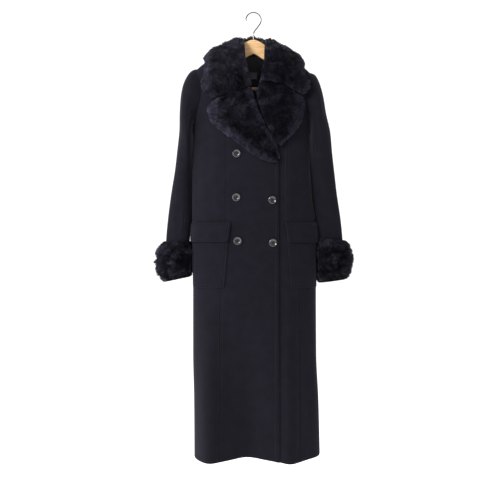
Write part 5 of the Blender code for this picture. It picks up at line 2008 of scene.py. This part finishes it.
@dataclass(frozen=True)
class FurFinish(Finish):
    """Dark fur, paler and a little violet towards the tips of its hair."""

    group: bpy.types.NodeTree
    root: Colour = (0.0016, 0.0015, 0.0040, 1.0)
    tip: Colour = (0.066, 0.060, 0.100, 1.0)
    # Darker end of the tips' colours: random dark tips, and painted shade in the pile's low places
    dark_and_shaded_tip: Colour = (0.0046, 0.0042, 0.0110, 1.0)

    def make(self) -> Material:
        """Builds the material."""
        shader, material, surface = self.start("plush_fur", {
            "Sheen Weight": 0.14, "Sheen Roughness": 0.35, "Sheen Tint": (0.80, 0.76, 0.92, 1),
            "Specular IOR Level": 0.16})
        uv = shader.node("ShaderNodeUVMap", {}, uv_map="fur")
        parts = shader.node("ShaderNodeSeparateXYZ", {0: uv.outputs["UV"]})
        along, tone = parts.outputs[0], parts.outputs[1]
        nap = self.nap(shader, self.group, mottle=60.0, fibre=900.0, length=4.0)
        # Tips run from the dark to the pale tip colour by the tone in the UV map: random tone,
        # painted shade in low places and the painted highlight
        ends = shader.mix(shader.spread(tone, 0.15, 0.90), self.dark_and_shaded_tip, self.tip)
        rise = shader.math("POWER", along, 1.5)
        colour = shader.mix(rise, self.root, ends)
        worn = shader.mix(shader.math("MULTIPLY", nap.outputs["Tone"], 0.25), colour, self.root)
        shader.feed(surface.inputs["Base Color"], worn)
        shader.feed(surface.inputs["Roughness"], shader.spread(tone, 0.0, 1.0, 0.70, 0.52))
        return material


@dataclass(frozen=True)
class HornFinish(Finish):
    """Polished near-black buttons with faint cloudy streaks."""

    def make(self) -> Material:
        """Builds the material."""
        shader, material, surface = self.start("black_horn", {
            "Coat Weight": 0.6, "Coat Roughness": 0.06, "Specular IOR Level": 0.6})
        place = shader.place()
        warped = shader.stretched(place, 1.0, 1.0, 0.35)
        cloud = shader.noise(warped, 210.0, 4.0, 0.6)
        colour = shader.mix(shader.spread(cloud, 0.38, 0.72), (0.0075, 0.0075, 0.0100, 1),
                            (0.040, 0.036, 0.040, 1))
        shader.feed(surface.inputs["Base Color"], colour)
        scuff = shader.noise(place, 1500.0, 2.0, 0.6)
        shader.feed(surface.inputs["Roughness"], shader.spread(scuff, 0.35, 0.75, 0.16, 0.30))
        self.bump(shader, surface, scuff, 0.12, 0.0001)
        return material


@dataclass(frozen=True)
class WoodFinish(Finish):
    """Pale varnished wood, its grain along the arms."""

    def make(self) -> Material:
        """Builds the material."""
        shader, material, surface = self.start("varnished_beech", {
            "Coat Weight": 0.35, "Coat Roughness": 0.18, "Specular IOR Level": 0.45})
        place = shader.place()
        bent = shader.node("ShaderNodeVectorMath", {
            0: shader.stretched(place, 0.10, 1.0, 1.0),
            1: shader.stretched(shader.node("ShaderNodeTexNoise", {
                "Vector": place, "Scale": 9.0, "Detail": 2.0}).outputs["Color"],
                0.006, 0.006, 0.012)}, operation="ADD").outputs[0]
        rings = shader.noise(bent, 230.0, 4.0, 0.62)
        pores = shader.noise(shader.stretched(place, 0.06, 1.0, 1.0), 1400.0, 2.0, 0.5)
        pale = shader.mix(shader.spread(rings, 0.35, 0.66), (0.93, 0.60, 0.30, 1),
                          (0.75, 0.435, 0.182, 1))
        fleck = shader.spread(pores, 0.62, 0.74, 0.0, 0.45)
        shader.feed(surface.inputs["Base Color"], shader.mix(fleck, pale, (0.42, 0.20, 0.065, 1)))
        shader.feed(surface.inputs["Roughness"], shader.spread(rings, 0.3, 0.7, 0.34, 0.48))
        self.bump(shader, surface, pores, 0.25, 0.0002)
        return material


@dataclass(frozen=True)
class SteelFinish(Finish):
    """Bright plated wire with fine drawing marks and a little dulling."""

    def make(self) -> Material:
        """Builds the material."""
        shader, material, surface = self.start("plated_wire", {"Metallic": 1.0})
        place = shader.place()
        haze = shader.noise(place, 160.0, 3.0, 0.6)
        marks = shader.noise(shader.stretched(place, 1.0, 1.0, 0.15), 2200.0, 2.0, 0.5)
        shader.feed(surface.inputs["Base Color"],
                    shader.mix(shader.spread(haze, 0.4, 0.75), (0.25, 0.25, 0.26, 1),
                               (0.13, 0.13, 0.14, 1)))
        shader.feed(surface.inputs["Roughness"], shader.spread(haze, 0.35, 0.75, 0.14, 0.32))
        self.bump(shader, surface, marks, 0.10, 0.0001)
        return material


@dataclass
class Studio:
    """Pale floor, soft lamps, camera, and white surroundings: as seen, and as a light."""

    floor_half: float = 7.0
    seen: float = 1.15
    lit: float = 0.36

    def _floor(self) -> None:
        """A pale floor below the hanging coat."""
        Bench.clear()
        bpy.ops.mesh.primitive_plane_add(size=2 * self.floor_half, location=(0, 0, FLOOR_Z))
        floor = bpy.context.object
        finish = Finish()
        shader, material, surface = finish.start("pale_floor", {
            "Roughness": 0.85, "Emission Color": (1.0, 1.0, 1.0, 1.0),
            "Emission Strength": 0.75})
        grain = shader.noise(shader.place(), 3.0, 3.0, 0.6)
        shader.feed(surface.inputs["Base Color"],
                    shader.mix(grain, (0.95, 0.95, 0.95, 1), (0.97, 0.97, 0.97, 1)))
        Bench.settle(floor, "floor", material)

    def _light(self, lamp: Lamp) -> None:
        """Hangs up a lamp."""
        data = bpy.data.lights.new(lamp.name, "AREA")
        data.shape, data.size, data.energy = "SQUARE", lamp.size, lamp.power
        light = put(lamp.name, data)
        light.location = lamp.place
        aim = Vector(LAMP_AIM) - Vector(lamp.place)
        light.rotation_euler = aim.to_track_quat("-Z", "Y").to_euler()

    def build(self) -> None:
        """Sets floor, surroundings, lamps and camera."""
        self._floor()
        world = bpy.context.scene.world or bpy.data.worlds.new("surroundings")
        bpy.context.scene.world = world
        world.use_nodes = True
        background = world.node_tree.nodes["Background"]
        background.inputs["Color"].default_value = (1.0, 1.0, 1.0, 1.0)
        shader = Shader(world.node_tree)
        seen = shader.node("ShaderNodeLightPath", {}).outputs["Is Camera Ray"]
        strength = shader.math("ADD", shader.math("MULTIPLY", seen, self.seen - self.lit),
                               self.lit)
        shader.feed(background.inputs["Strength"], strength)
        for lamp in LAMPS:
            self._light(lamp)
        data = bpy.data.cameras.new("camera")
        data.lens, data.sensor_width = CAMERA_LENS, SENSOR
        camera = put("camera", data)
        camera.location = CAMERA_PLACE
        camera.rotation_euler = (math.pi / 2, 0, 0)
        bpy.context.scene.camera = camera
        bpy.context.scene.view_settings.view_transform = "Standard"


def main() -> None:
    """Builds and dresses the whole coat on its hanger.
    """
    logging.basicConfig(level=logging.INFO, format="%(name)s: %(message)s")
    form = CoatForm()
    nap = nap_group()
    wool, satin, tape, thread = (NapFinish(nap, *row).make() for row in CLOTHS)
    fur = FurFinish(nap).make()
    horn, wood, steel = HornFinish().make(), WoodFinish().make(), SteelFinish().make()

    stitching = Stitching(thread)
    sleeves = Sleeves(form, wool)
    pieces = BodyPanels(form, wool, stitching).build() + sleeves.build()
    pieces += Pockets(form, wool, stitching).build()
    pieces += FurTrim(form, fur).build(sleeves)
    pieces += NeckLining(form, satin, tape, stitching).build()
    LOG.info("topstitching: %d stitches", stitching.build())
    pieces += Buttons(form, horn, thread).build() + Hanger(wood, steel).build()
    for piece in pieces:
        LOG.info("%s: %d triangles", piece.name, triangles(piece))
    Studio().build()


def triangles(obj: Piece) -> int:
    """How many triangles a piece has."""
    return sum(len(face.vertices) - 2 for face in obj.data.polygons)


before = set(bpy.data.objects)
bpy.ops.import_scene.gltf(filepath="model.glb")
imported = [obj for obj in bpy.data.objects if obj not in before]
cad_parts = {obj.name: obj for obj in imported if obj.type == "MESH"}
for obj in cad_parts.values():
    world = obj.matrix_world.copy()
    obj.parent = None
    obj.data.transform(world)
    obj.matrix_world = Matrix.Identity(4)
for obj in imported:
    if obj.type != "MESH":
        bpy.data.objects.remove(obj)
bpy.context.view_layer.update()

if __name__ == "__main__":
    main()
